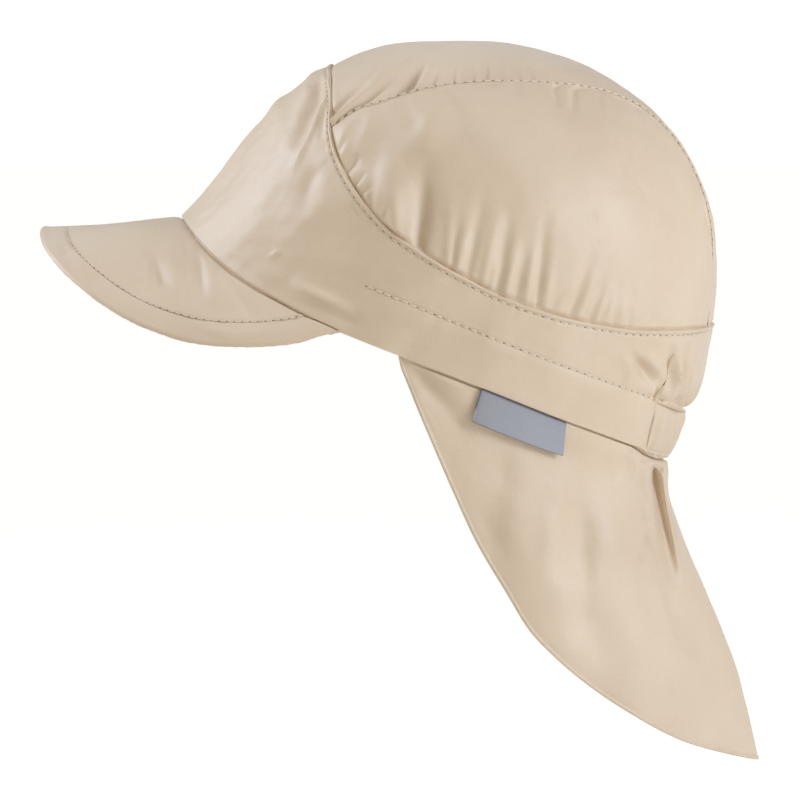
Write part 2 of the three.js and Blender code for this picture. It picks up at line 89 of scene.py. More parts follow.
# height, front, back, side, middle: level sections of the crown, shares of its half length and half width
crownRows = [
    (0.00, 0.995, 1.000, 1.000, 0.070),
    (0.12, 0.957, 1.003, 1.012, 0.072),
    (0.25, 0.906, 1.006, 1.022, 0.075),
    (0.40, 0.853, 0.975, 1.022, 0.080),
    (0.55, 0.775, 0.920, 0.985, 0.088),
    (0.70, 0.662, 0.842, 0.890, 0.098),
    (0.82, 0.520, 0.728, 0.745, 0.112),
    (0.91, 0.310, 0.585, 0.560, 0.128),
    (0.97, 0.103, 0.410, 0.345, 0.145),
    (1.00, -0.163, 0.163, 0.000, 0.163),
]
# turn from the front in degrees, height of the seam between wall and crown
wallSeamRows = [
    (0, 0.707), (22, 0.66), (34.6, 0.593), (40.4, 0.538), (49.6, 0.458), (59.4, 0.387), (69, 0.331),
    (78.2, 0.303), (87.7, 0.284), (97.2, 0.274), (111.4, 0.283), (126.8, 0.316), (147, 0.374),
    (162, 0.408), (180, 0.43),
]
# along, turn, height of the seam between the top strip and a side panel
stripSeamRows = [
    (0, 40.4, 0.538), (0.055, 43.9, 0.613), (0.092, 47.5, 0.651), (0.163, 54.1, 0.728),
    (0.233, 61.7, 0.79), (0.301, 70.5, 0.84), (0.372, 81.4, 0.882), (0.45, 96.9, 0.918),
    (0.492, 107.8, 0.932), (0.535, 120.7, 0.937), (0.584, 135.7, 0.934), (0.633, 147, 0.914),
    (0.679, 153.4, 0.88), (0.755, 158.8, 0.8), (0.83, 161.6, 0.7), (0.895, 163, 0.6), (1, 164, 0.411),
]

heights, fronts, backs, sides, middles = columns(crownRows)
levels = np.arcsin(heights)
fineLevels = np.linspace(0, math.pi / 2, 1200)
fineSections = [smoothThrough(levels, ys)(fineLevels) for ys in (fronts, backs, sides, middles)]
wallSeam = smoothThrough(*columns(wallSeamRows))
stripAlong, stripTurns, stripHeights = columns(stripSeamRows)
stripTurn = smoothThrough(stripAlong, stripTurns)
stripHeight = smoothThrough(stripAlong, stripHeights)
heart = np.array([0.0, 0.09 * crown["halfLength"], 0.3 * crown["height"]])


def section(z):
    # front, back, half width and middle of the crown at a height
    level = np.arcsin(np.clip(z / crown["height"], 0, 1))
    front, back, side, middle = (np.interp(level, fineLevels, ys) for ys in fineSections)
    length, width = crown["halfLength"], crown["halfWidth"]
    return -front * length, back * length, side * width, middle * length


def crownAt(turn, z):
    turn, z = np.broadcast_arrays(np.asarray(turn, float), np.asarray(z, float))
    front, back, side, middle = section(z)
    c = np.cos(np.radians(turn))
    half = np.where(c > 0, middle - front, back - middle)
    return np.stack([side * np.sin(np.radians(turn)), middle - half * c, z], -1)


def insideCrown(p):
    front, back, side, middle = section(p[..., 2])
    half = np.where(p[..., 1] < middle, middle - front, back - middle)
    reach = (p[..., 0] / np.maximum(side, 1e-6)) ** 2 + ((p[..., 1] - middle) / np.maximum(half, 1e-6)) ** 2
    return (p[..., 2] < crown["height"]) & (reach < 1)


def onCrown(p):
    # where the ray from the crown's heart through a point meets the crown
    ray = p - heart
    ray = ray / np.linalg.norm(ray, axis=-1, keepdims=True)
    near = np.zeros(p.shape[:-1])
    far = np.full(p.shape[:-1], 2 * crown["halfLength"])
    for _ in range(28):  # halvings, to far below a micrometre
        mid = (near + far) / 2
        hit = insideCrown(heart + ray * mid[..., None])
        near = np.where(hit, mid, near)
        far = np.where(hit, far, mid)
    return heart + ray * far[..., None]


def crownNormal(p):
    ray = p - heart
    ray = ray / np.linalg.norm(ray, axis=-1, keepdims=True)
    aside = np.stack([-ray[..., 1], ray[..., 0], 0 * ray[..., 0]], -1)
    size = np.linalg.norm(aside, axis=-1, keepdims=True)
    aside = np.where(size < 0.01, np.array([1.0, 0, 0]), aside / np.maximum(size, 1e-9))
    above = np.cross(ray, aside)
    above /= np.linalg.norm(above, axis=-1, keepdims=True)
    step = 0.6  # millimetres to either side
    across = onCrown(p + aside * step) - onCrown(p - aside * step)
    up = onCrown(p + above * step) - onCrown(p - above * step)
    normal = np.cross(across, up)
    normal /= np.linalg.norm(normal, axis=-1, keepdims=True)
    return np.where(np.sum(normal * ray, -1, keepdims=True) < 0, -normal, normal)


tilt = math.radians(crown["pitch"])


def place(p):
    # from the plane of the head opening, in millimetres, to the cap as worn, in metres
    x, y, z = p[..., 0], p[..., 1], p[..., 2]
    back = y * math.cos(tilt) + z * math.sin(tilt)
    up = z * math.cos(tilt) - y * math.sin(tilt)
    return np.stack([x, back, up], -1) / 1000


# where a point of the near side stands in the photograph's 800 pixel frame
lookUp = math.radians(view["elevation"])
target = np.array([0, -view["back"], -view["up"]])
eye = target + view["distance"] * np.array([math.cos(lookUp), 0, math.sin(lookUp)])
focal = view["distance"] * view["pixelsPerMm"]


def seen(p):
    worn = place(p) * 1000
    worn[..., 0] = np.abs(worn[..., 0])
    ray = worn - eye
    depth = -ray[..., 0] * math.cos(lookUp) - ray[..., 2] * math.sin(lookUp)
    up = -ray[..., 0] * math.sin(lookUp) + ray[..., 2] * math.cos(lookUp)
    half = view["frame"] / 2
    return half + focal * ray[..., 1] / depth, half - focal * up / depth


# fields that lift the cloth off its smooth form, in millimetres
def seenLift(p, rows):
    # row: start and end in the picture, width at start and end in millimetres, height,
    # 1 where both ends fade and 0 where only the far end does
    x, y = seen(p)
    total = np.zeros(x.shape)
    for x0, y0, x1, y1, wide0, wide1, high, both in rows:
        ax, ay = x1 - x0, y1 - y0
        t = ((x - x0) * ax + (y - y0) * ay) / (ax * ax + ay * ay)
        c = np.clip(t, 0, 1)
        off = np.hypot(x - x0 - ax * c, y - y0 - ay * c) / view["pixelsPerMm"]
        fade = np.sin(np.pi * c) if both else np.cos(0.5 * np.pi * c) ** 0.8
        total += high * fade * bell(off / mix(wide0, wide1, c))
    return total


def softNoise(p, size, seed):
    # slow waves in all directions, about as long as size in millimetres
    rng = np.random.default_rng(seed)
    total = np.zeros(p.shape[:-1])
    for _ in range(9):
        way = rng.normal(size=3)
        way *= 2 * math.pi / (size * rng.uniform(0.7, 1.5) * np.linalg.norm(way))
        total += np.sin(p @ way + rng.uniform(0, 2 * math.pi))
    return total / 3


def gathers(along, up, length, gap, high, tall, seed):
    # short folds that start at a seam; along and up are millimetres from its start and from the seam
    rng = np.random.default_rng(seed)
    total = np.zeros(along.shape)
    at = rng.uniform(0.3, 1) * gap
    while at < length:
        lean = rng.uniform(-0.25, 0.35)
        wide = rng.uniform(0.22, 0.38) * gap
        reach = rng.uniform(0.5, 1.3) * tall
        size = rng.uniform(0.5, 1.2) * high
        total += size * bell((along - at - lean * up) / (wide * (1 + 0.5 * up / tall))) * bell(up / reach)
        at += rng.uniform(0.7, 1.4) * gap
    return total


# closed cloth meshes from two grids of points
def arcs(grid, axis):
    steps = np.linalg.norm(np.diff(grid, axis=axis), axis=-1)
    zero = np.zeros_like(np.take(steps, [0], axis))
    return np.concatenate([zero, np.cumsum(steps, axis=axis)], axis)


def sheetMesh(name, outer, inner, uv, ring=False):
    # a closed sheet: outer face, inner face, both long edges and, unless it is a ring, both ends
    cols, rows = outer.shape[:2]
    ids = np.arange(2 * cols * rows).reshape(2, cols, rows)
    if ring:
        ids = np.concatenate([ids, ids[:, :1]], 1)
    o, i = ids
    quads = [
        np.stack([o[:-1, :-1], o[1:, :-1], o[1:, 1:], o[:-1, 1:]], -1).reshape(-1, 4),
        np.stack([i[:-1, :-1], i[:-1, 1:], i[1:, 1:], i[1:, :-1]], -1).reshape(-1, 4),
        np.stack([o[:-1, 0], i[:-1, 0], i[1:, 0], o[1:, 0]], -1),
        np.stack([o[:-1, -1], o[1:, -1], i[1:, -1], i[:-1, -1]], -1),
    ]
    if not ring:
        quads.append(np.stack([o[0, :-1], o[0, 1:], i[0, 1:], i[0, :-1]], -1))
        quads.append(np.stack([o[-1, :-1], i[-1, :-1], i[-1, 1:], o[-1, 1:]], -1))
    quads = np.concatenate(quads)
    points = place(np.concatenate([outer.reshape(-1, 3), inner.reshape(-1, 3)]))
    a, b, c, d = (points[quads[:, k]] for k in range(4))
    size = np.einsum("ij,ij->i", a, np.cross(b, c)) + np.einsum("ij,ij->i", a, np.cross(c, d))
    if size.sum() < 0:
        quads = quads[:, ::-1]
    mesh = bpy.data.meshes.new(name)
    mesh.vertices.add(len(points))
    mesh.vertices.foreach_set("co", points.ravel())
    mesh.loops.add(quads.size)
    mesh.loops.foreach_set("vertex_index", quads.ravel())
    mesh.polygons.add(len(quads))
    mesh.polygons.foreach_set("loop_start", np.arange(0, quads.size, 4))
    mesh.polygons.foreach_set("use_smooth", np.ones(len(quads), bool))
    mesh.update(calc_edges=True)
    layer = mesh.uv_layers.new(name="clothMm")
    flat = np.concatenate([uv.reshape(-1, 2), uv.reshape(-1, 2)])
    loopVertex = np.empty(quads.size, np.int32)
    mesh.loops.foreach_get("vertex_index", loopVertex)
    layer.data.foreach_set("uv", flat[loopVertex].ravel())
    mesh.set_sharp_from_angle(angle=math.radians(55))
    mesh.validate()
    obj = bpy.data.objects.new(name, mesh)
    bpy.context.scene.collection.objects.link(obj)
    return obj


def dress(obj, material, nodes=()):
    obj.data.materials.clear()
    obj.data.materials.append(material)
    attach(obj, "root")
    if nodes:
        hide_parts(*nodes)
    print(obj.name, len(obj.data.polygons), "faces")


def clothUv(grid):
    # millimetres along and across the cloth
    return np.stack([arcs(grid, 0).mean(1)[:, None] + 0 * grid[..., 0], arcs(grid, 1)], -1)


# cloth, thread and label materials
def nodeOf(tree, kind, **values):
    node = tree.nodes.new(kind)
    for key, value in values.items():
        setattr(node, key, value)
    return node


def clothMaterial(name, look):
    material = bpy.data.materials.new(name)
    material.use_nodes = True
    tree = material.node_tree
    shader = tree.nodes["Principled BSDF"]
    shader.inputs["Sheen Weight"].default_value = look["sheen"]
    shader.inputs["Sheen Roughness"].default_value = 0.45
    shader.inputs["Specular IOR Level"].default_value = look["gloss"]
    where = nodeOf(tree, "ShaderNodeTexCoord")
    uv = nodeOf(tree, "ShaderNodeUVMap", uv_map="clothMm")
    tone = nodeOf(tree, "ShaderNodeTexNoise")
    tone.inputs["Scale"].default_value = 26
    tone.inputs["Detail"].default_value = 5
    tree.links.new(where.outputs["Object"], tone.inputs["Vector"])
    ramp = nodeOf(tree, "ShaderNodeValToRGB")
    ramp.color_ramp.elements[0].position = 0.3
    ramp.color_ramp.elements[0].color = (*look["dark"], 1)
    ramp.color_ramp.elements[1].position = 0.7
    ramp.color_ramp.elements[1].color = (*look["light"], 1)
    tree.links.new(tone.outputs["Fac"], ramp.inputs["Fac"])
    slub = nodeOf(tree, "ShaderNodeTexNoise")
    slub.inputs["Scale"].default_value = 1.0
    slub.inputs["Detail"].default_value = 2
    stretch = nodeOf(tree, "ShaderNodeMapping")
    stretch.inputs["Scale"].default_value = (0.35, 2.4, 1)
    tree.links.new(uv.outputs["UV"], stretch.inputs["Vector"])
    tree.links.new(stretch.outputs["Vector"], slub.inputs["Vector"])
    blend = nodeOf(tree, "ShaderNodeMix", data_type="RGBA", blend_type="MULTIPLY")
    blend.inputs["Factor"].default_value = look["slub"]
    tree.links.new(ramp.outputs["Color"], blend.inputs["A"])
    tree.links.new(slub.outputs["Fac"], blend.inputs["B"])
    tree.links.new(blend.outputs["Result"], shader.inputs["Base Color"])
    rough = nodeOf(tree, "ShaderNodeMapRange")
    rough.inputs["To Min"].default_value = look["rough"] - look["roughSpread"]
    rough.inputs["To Max"].default_value = look["rough"] + look["roughSpread"]
    tree.links.new(tone.outputs["Fac"], rough.inputs["Value"])
    tree.links.new(rough.outputs["Result"], shader.inputs["Roughness"])
    crease = nodeOf(tree, "ShaderNodeTexNoise")
    crease.inputs["Scale"].default_value = 95
    crease.inputs["Detail"].default_value = 6
    crease.inputs["Distortion"].default_value = 0.8
    tree.links.new(where.outputs["Object"], crease.inputs["Vector"])
    folds = nodeOf(tree, "ShaderNodeBump")
    folds.inputs["Strength"].default_value = 1.0
    folds.inputs["Distance"].default_value = look["crease"]
    tree.links.new(crease.outputs["Fac"], folds.inputs["Height"])
    threads = []
    for axis in ("X", "Y"):
        wave = nodeOf(tree, "ShaderNodeTexWave", wave_type="BANDS", bands_direction=axis)
        wave.inputs["Scale"].default_value = look["threads"]
        wave.inputs["Distortion"].default_value = 1.5
        wave.inputs["Detail Scale"].default_value = 0.6
        tree.links.new(uv.outputs["UV"], wave.inputs["Vector"])
        threads.append(wave)
    weave = nodeOf(tree, "ShaderNodeMath", operation="MULTIPLY")
    tree.links.new(threads[0].outputs["Fac"], weave.inputs[0])
    tree.links.new(threads[1].outputs["Fac"], weave.inputs[1])
    grain = nodeOf(tree, "ShaderNodeBump")
    grain.inputs["Strength"].default_value = 0.8
    grain.inputs["Distance"].default_value = look["weave"]
    tree.links.new(weave.outputs["Value"], grain.inputs["Height"])
    tree.links.new(folds.outputs["Normal"], grain.inputs["Normal"])
    tree.links.new(grain.outputs["Normal"], shader.inputs["Normal"])
    return material


beigeLook = {
    "dark": (0.678, 0.514, 0.343), "light": (0.745, 0.58, 0.396), "rough": 0.5, "roughSpread": 0.08,
    "sheen": 0.22, "gloss": 0.65, "slub": 0.1, "crease": 0.0003, "weave": 0.00002, "threads": 1.1,
}
capCloth = clothMaterial("beigePoplin", beigeLook)
peakCloth = clothMaterial("peakPoplin", {**beigeLook, "crease": 0.00016})
flapCloth = clothMaterial("flapPoplin", beigeLook)


def plainMaterial(name, colour, rough):
    material = bpy.data.materials.new(name)
    material.use_nodes = True
    tree = material.node_tree
    shader = tree.nodes["Principled BSDF"]
    shader.inputs["Specular IOR Level"].default_value = 0.25
    noise = nodeOf(tree, "ShaderNodeTexNoise")
    noise.inputs["Scale"].default_value = 700
    where = nodeOf(tree, "ShaderNodeTexCoord")
    tree.links.new(where.outputs["Object"], noise.inputs["Vector"])
    ramp = nodeOf(tree, "ShaderNodeValToRGB")
    ramp.color_ramp.elements[0].color = (*[c * 0.85 for c in colour], 1)
    ramp.color_ramp.elements[1].color = (*colour, 1)
    tree.links.new(noise.outputs["Fac"], ramp.inputs["Fac"])
    tree.links.new(ramp.outputs["Color"], shader.inputs["Base Color"])
    shader.inputs["Roughness"].default_value = rough
    return material


thread = plainMaterial("beigeThread", (0.76, 0.63, 0.47), 0.5)
# dark brown dots between the stitches: painted shade for the small dips where the thread enters the cloth
paintedStitchShade = plainMaterial("paintedStitchShade", (0.36, 0.26, 0.16), 0.9)
print("materials made")


# lower wall of the crown, from the peak to the back
wallLook = {
    "columns": 520, "rows": 52, "fineRows": 14, "fineZone": 3.4, "footRows": 14, "footZone": 3.6,
    "endTurn": 147.0, "endSlant": 4.9, "endHeight": 16.7, "behindPeak": 2.6,
    "bandHeight": 16.8, "bandFrom": 71.7, "bandTo": 147.2, "bandPitch": 3.0,
    "ridge": 0.55, "ridgeWide": 0.75, "stitchDown": 1.75, "groove": 0.35, "seamReach": 170.5,
    "gatherFrom": 126.0, "gatherHigh": 0.95, "casingTurn": 148.0, "casingFoot": 16.3,
}
# turn, wide in degrees, height, tall as shares of the crown, depth in millimetres
wallDents = [
    (24, 9, 0.45, 0.20, -0.55), (40, 8, 0.16, 0.10, 0.5), (62, 12, 0.13, 0.07, -0.72),
    (138, 6, 0.24, 0.08, -0.72), (150, 6, 0.27, 0.08, 0.72),
]
# creases placed in the photograph: x, y, x, y, width, width, height, both ends fade
wallCreases = [
    (323, 84, 296, 152, 1.6, 2.8, -2.0, 0), (309, 92, 276, 165, 1.4, 3.6, 0.9, 0),
    (328, 96, 291, 174, 0.6, 1.4, 1.5, 0), (327, 112, 322, 142, 0.9, 1.4, -0.9, 0),
    (331, 128, 326, 160, 0.8, 1.2, -0.5, 0), (268, 259, 281, 249, 0.5, 0.5, 0.6, 1),
    (289, 282, 356, 314, 2.0, 1.8, 1.3, 1), (300, 298, 360, 326, 2.0, 2.0, -0.5, 1),
    (330, 322, 368, 318, 3.0, 3.0, -0.7, 1), (300, 250, 350, 225, 7.0, 7.0, -0.9, 1),
    (352, 205, 362, 222, 1.2, 1.2, -0.6, 1), (318, 160, 300, 215, 2.4, 3.2, -0.7, 1),
    (632, 352, 658, 388, 1.3, 2.0, -2.0, 1), (645, 352, 668, 384, 1.2, 1.8, 0.9, 1),
    (622, 352, 640, 392, 1.6, 2.2, 0.6, 1), (672, 342, 671, 402, 1.1, 1.4, -2.6, 1),
    (687, 340, 676, 408, 0.9, 1.1, -2.4, 1), (677, 352, 676, 404, 0.9, 1.1, 0.9, 1),
    (682, 396, 678, 409, 0.5, 0.6, -0.8, 1), (659, 386, 654, 399, 0.7, 0.8, -0.9, 1),
    (692, 352, 688, 405, 0.8, 1.2, 0.6, 1),
]
peakRows = [
    (0, 1, 0, 1.003, 0.5), (9, 0.99, 0.121, 0.995, 0.54), (21, 0.82, 0.211, 0.952, 0.583),
    (28.4, 0.65, 0.267, 0.865, 0.612), (37.4, 0.42, 0.301, 0.69, 0.635),
    (46, 0.24, 0.279, 0.535, 0.614), (52, 0.15, 0.235, 0.374, 0.56), (57.4, 0.09, 0.184, 0.238, 0.45),
    (62.5, 0.04, 0.124, 0.126, 0.31), (66, 0.02, 0.078, 0.063, 0.195), (68, 0.015, 0.05, 0.042, 0.112),
    (70, 0.01, 0.02, 0.016, 0.04), (71.4, 0.01, 0.004, 0.002, 0.002),
]
peakLook = {
    "length": 41.2, "lift": 12.5, "thickness": 2.8, "turn": 71.2, "columns": 260, "rows": 64,
    "edgePoints": 1600, "round": 1.3, "stitchIn": 8.9, "stitchPitch": 2.5,
}
peakTurns, peakLifts, peakOuts, peakForwards, peakDowns = columns(peakRows)
peakLiftAt = smoothThrough(peakTurns, peakLifts)
peakOut = smoothThrough(peakTurns, peakOuts)
peakForward = smoothThrough(peakTurns, peakForwards)
peakDown = smoothThrough(peakTurns, peakDowns)


def peakRoot(turn):
    # height of the peak's sewn edge above the head opening
    return peakLook["lift"] * peakLiftAt(np.abs(turn))


def seamTurns(count):
    # turns spaced evenly along the rim, one way round from the back
    turns = np.linspace(-180, 180, 2001)
    girth = np.concatenate([[0], np.cumsum(np.linalg.norm(np.diff(crownAt(turns, 25), axis=0), axis=1))])
    return np.interp(np.linspace(0, girth[-1], count + 1)[:-1], girth, turns)


def evenSpots(fine, edge, root, count):
    # spots spaced evenly along a piece, by its free edge more than by its root
    far = np.linalg.norm(np.diff(edge, axis=0), axis=1)
    near = np.linalg.norm(np.diff(root, axis=0), axis=1)
    walk = np.concatenate([[0], np.cumsum(0.6 * far + 0.4 * near)])
    return np.interp(np.linspace(0, walk[-1], count + 1), walk, fine)


def columnHeights(turn, low, high, arcsUp):
    # heights at given lengths down from the upper edge, measured on the crown
    z = np.linspace(0, 1, 160)[None] * (high - low)[:, None] + low[:, None]
    run = arcs(crownAt(turn[:, None], z), 1)
    total = run[:, -1]
    want = arcsUp(total)
    return np.stack([np.interp(w, r, h) for w, r, h in zip(want, run, z)]), total[:, None] - want


def bandHeight(around):
    # height of the lower topstitching
    return wallLook["bandHeight"] + 0.9 * ease((around - 105) / 40)


# how far the wall's lower edge lies above the head opening, turn by turn
footRows = [
    (0, 0), (74, 0), (84, 0.35), (100, 0.9), (118, 0.97), (138, 1.2), (147, 1.0), (153, 0.1), (180, 0),
]
footRise = smoothThrough(*columns(footRows))


def wallSurface(turn, z, edge):
    p = crownAt(turn, z)
    normal = crownNormal(p)
    around = np.abs(turn)
    girth = np.radians(turn) * 82  # millimetres round from the front, for a mean radius of 82
    lift = np.zeros(z.shape)
    for at, wide, height, tall, deep in wallDents:
        lift += deep * bell((around - at) / wide) * bell((z / crown["height"] - height) / tall)
    lift *= ease(edge / 6) * ease(z / 6)
    lift += seenLift(p, wallCreases) * ease((edge - 1.5) / 4)
    lift += 0.2 * softNoise(p, 21, 3) + 0.08 * softNoise(p, 8, 4)
    lift += 0.5 * bell(around / 34) * bell((z - 60) / 16) * ease(edge / 2)
    # the roll along the upper seam, its row of stitches and the small puckers below
    lift += wallLook["ridge"] * bell((edge - 0.55) / wallLook["ridgeWide"]) - 0.5 * bell(edge / 0.3)
    pulled = 0.75 + 0.25 * np.cos(2 * np.pi * girth / cloth["stitchPitch"])
    topstitched = ease((171.5 - around) / 1.5)
    lift -= wallLook["groove"] * bell((edge - wallLook["stitchDown"]) / 0.4) * pulled * topstitched
    lift += gathers(girth + 260, np.maximum(edge - 1.6, 0), 520, 3.4, 0.12, 3.2, 11) * ease((edge - 1.2) / 1)
    # the lower row of stitches, with the doubled cloth under it
    band = ease((around - wallLook["bandFrom"]) / 1.5) * ease((147 - around) / 2)
    line = bandHeight(around)
    lift -= 0.3 * band * bell((z - line) / 0.5) * (0.8 + 0.2 * np.cos(2 * np.pi * girth / 3))
    lift += 0.22 * ease((line - z) / 3) * ease((around - 60) / 14)
    lift += 0.16 * band * gathers(girth + 260, np.abs(z - line), 520, 5.2, 1, 5, 12)
    # gathers that the elastic pulls into the rear
    low = np.maximum(z - line, 0)
    rise = ease((around - wallLook["gatherFrom"]) / 18) * bell(low / 11)
    fold = gathers(girth + 260, low, 520, 6.4, 1.6, 30, 13) - 0.55
    lift += wallLook["gatherHigh"] * rise * fold * ease((around - 100) / 20) * ease(low / 1.2 + 0.25)
    behind = ease((around - 144) / 5) * ease((z - line + 1.2) / 1.2)
    lift += behind * (0.5 * bell((low - 10) / 6) - 0.9 * bell(low / 1.6) - 1.1 * bell(low / 4))
    # the step down to the peak, and the front panel's soft swell
    joint = z - peakRoot(turn) - 0.35
    lift += 0.3 * bell((joint - 0.8) / 0.9) * ease((69 - around) / 6)
    lift -= 1.1 * (1 - ease((joint + 0.2) / 0.4)) * ease((71.5 - around) / 2)
    swell = 1.2 * bell((edge - 7) / 3.6) + 0.35 * bell((edge - 14) / 3) + 1.35 * bell((edge - 21.8) / 4.2)
    lift += swell * bell(around / 24)
    lift -= 0.7 * bell((z - 22) / 15) * bell(around / 36)
    return p, normal, lift


def makeWall():
    turns = seamTurns(wallLook["columns"])
    last, endHeight = wallLook["endTurn"], wallLook["endHeight"]
    fineZone, footZone = wallLook["fineZone"], wallLook["footZone"]
    for way in (-1, 1):  # a column on each end of the long lower part, and one close behind it
        k = np.argmin(np.abs(turns - way * last))
        turns[k], turns[k + way] = way * last, way * (last + 0.15)
    around = np.abs(turns)
    front = np.maximum(0, peakRoot(turns) - wallLook["behindPeak"])
    foot = np.where(around > last, endHeight, np.where(around > 70, footRise(around), front))
    top = crown["height"] * wallSeam(around)
    fine = np.linspace(fineZone, 0, wallLook["fineRows"])
    footSteps = np.linspace(0, footZone, wallLook["footRows"])[None, :-1]

    def rows(total):
        low = np.broadcast_to(footSteps, (len(total), footSteps.shape[1]))
        main = mix(footZone, total[:, None] - fineZone, np.linspace(0, 1, wallLook["rows"])[None, :-1])
        return np.concatenate([low, main, total[:, None] - fine[None]], 1)

    z, edge = columnHeights(turns, foot, top, rows)
    slant = wallLook["endSlant"] * np.clip(1 - z / endHeight, 0, 1) * ease((around - 116) / 31)[:, None]
    grid = turns[:, None] + np.sign(turns)[:, None] * slant
    p, normal, lift = wallSurface(grid, z, edge)
    band = ease((wallLook["bandHeight"] - z) / 1.2) * ease((np.abs(grid) - 60) / 14)
    sink = 0.9 + 0.15 * band
    outer = p + normal * lift[..., None]
    inner = p + normal * (np.minimum(lift, 0.2) - sink)[..., None]
    return sheetMesh("wallPanelCloth", outer, inner, clothUv(outer), ring=True)


dress(makeWall(), capCloth, ["wall_panel"])


# top strip and side panels of the crown
def stripSeam(along, side=1):
    # the seam between the strip and a side panel, meeting the wall's seam at both ends
    turn = stripTurn(along)
    blend = np.minimum(bell(along / 0.03) + bell((1 - along) / 0.05), 1)
    height = mix(stripHeight(along), wallSeam(turn), blend)
    p = crownAt(turn, height * crown["height"])
    p[..., 0] *= side
    return p


sideLook = {"columns": 230, "rows": 110, "under": 1.6, "sunk": 0.75, "gather": 0.3, "puckers": 0.42}
sideDents = [
    (0.13, 0.03, 0.5, -0.99), (0.2, 0.035, 0.8, 1.1), (0.27, 0.035, 0.75, -1.54),
    (0.38, 0.035, 0.35, 0.5), (0.45, 0.03, 0.35, -0.5), (0.53, 0.03, 0.32, 0.5), (0.6, 0.03, 0.3, -0.5),
    (0.68, 0.03, 0.28, 0.5), (0.76, 0.03, 0.28, -0.5), (0.85, 0.03, 0.25, 0.4),
]
sideCreases = [
    (419, 252, 425, 150, 1.9, 4.6, -3.3, 0), (398, 238, 388, 140, 2.0, 4.8, 1.6, 0),
    (449, 264, 451, 170, 1.2, 2.8, 0.9, 0), (446, 100, 416, 152, 4.0, 4.0, 1.0, 1),
    (452, 266, 457, 222, 1.0, 2.0, -0.7, 0), (372, 205, 374, 160, 1.6, 3.2, -0.8, 0),
    (458, 268, 468, 208, 1.2, 2.4, 0.8, 0), (468, 274, 485, 184, 1.1, 2.9, -1.04, 0),
    (483, 284, 499, 203, 1.2, 2.4, 0.72, 0), (497, 291, 511, 205, 1.2, 2.6, -1.12, 0),
    (491, 290, 501, 254, 0.7, 1.3, 0.4, 0), (506, 295, 518, 227, 0.9, 1.9, 0.72, 0),
    (516, 299, 528, 238, 0.9, 2, -0.96, 0), (511, 297, 518, 264, 0.6, 1.1, -0.32, 0),
    (526, 301, 534, 245, 0.8, 1.8, 0.64, 0), (537, 306, 547, 210, 0.9, 2.2, -1.44, 0),
    (531, 304, 536, 266, 0.6, 1.2, -0.4, 0), (545, 309, 553, 253, 0.7, 1.4, 0.56, 0),
    (553, 311, 558, 292, 0.5, 1, -0.4, 0), (560, 312, 564, 296, 0.5, 1, 0.32, 0),
    (571, 315, 597, 241, 0.9, 2.4, -1.12, 0), (579, 317, 598, 269, 0.8, 1.7, 0.64, 0),
    (589, 320, 610, 268, 0.8, 1.7, -0.88, 0), (584, 319, 592, 300, 0.5, 0.8, -0.32, 0),
    (596, 321, 612, 283, 0.6, 1.2, 0.48, 0), (601, 322, 611, 288, 0.6, 1.2, -0.72, 0),
    (613, 325, 622, 280, 0.6, 1.3, -0.72, 0), (620, 326, 628, 292, 0.6, 1.1, 0.4, 0),
    (628, 328, 636, 266, 0.7, 1.6, -0.72, 0), (346, 172, 359, 153, 0.6, 1.1, -1.0, 0),
    (354, 186, 366, 170, 0.5, 0.9, -0.9, 0), (360, 196, 372, 184, 0.5, 0.8, -0.8, 0),
    (350, 178, 360, 166, 0.5, 0.7, 0.5, 0), (341, 150, 348, 138, 0.6, 1.0, -0.4, 0),
    (383, 220, 392, 204, 0.5, 0.9, -0.5, 0), (357, 150, 350, 180, 2.6, 2.6, -0.9, 1),
    (396, 95, 420, 135, 3.4, 3.4, -0.8, 1), (445, 96, 470, 125, 1.6, 3.4, -0.7, 0),
    (555, 84, 559, 108, 0.9, 1.6, -0.9, 0), (575, 88, 573, 122, 0.9, 1.8, -0.8, 0),
    (565, 86, 566, 112, 0.8, 1.3, 0.5, 0), (345, 118, 342, 160, 2.2, 2.2, 0.7, 1),
    (375, 104, 362, 150, 2.0, 3.0, 0.6, 1), (520, 84, 524, 104, 0.8, 1.4, -0.5, 0),
    (706, 190, 712, 235, 1.2, 1.8, -0.9, 1), (716, 248, 720, 270, 1.2, 1.4, 0.8, 1),
    (600, 95, 602, 112, 0.8, 1.2, -0.4, 0),
]


def sideBase(along, up):
    # the panel's smooth form, with its distances from the wall's seam and from the strip's
    turn = mix(stripTurn(0), stripTurn(1), along)
    low = crownAt(turn, crown["height"] * wallSeam(turn))
    high = stripSeam(along)
    span = np.linalg.norm(high - low, axis=-1)
    extra = sideLook["under"] / np.maximum(span, 6)
    share = mix(-extra, 1 + extra * 0.3, up)
    return onCrown(low + (high - low) * share[..., None]), share * span, (1 - share) * span


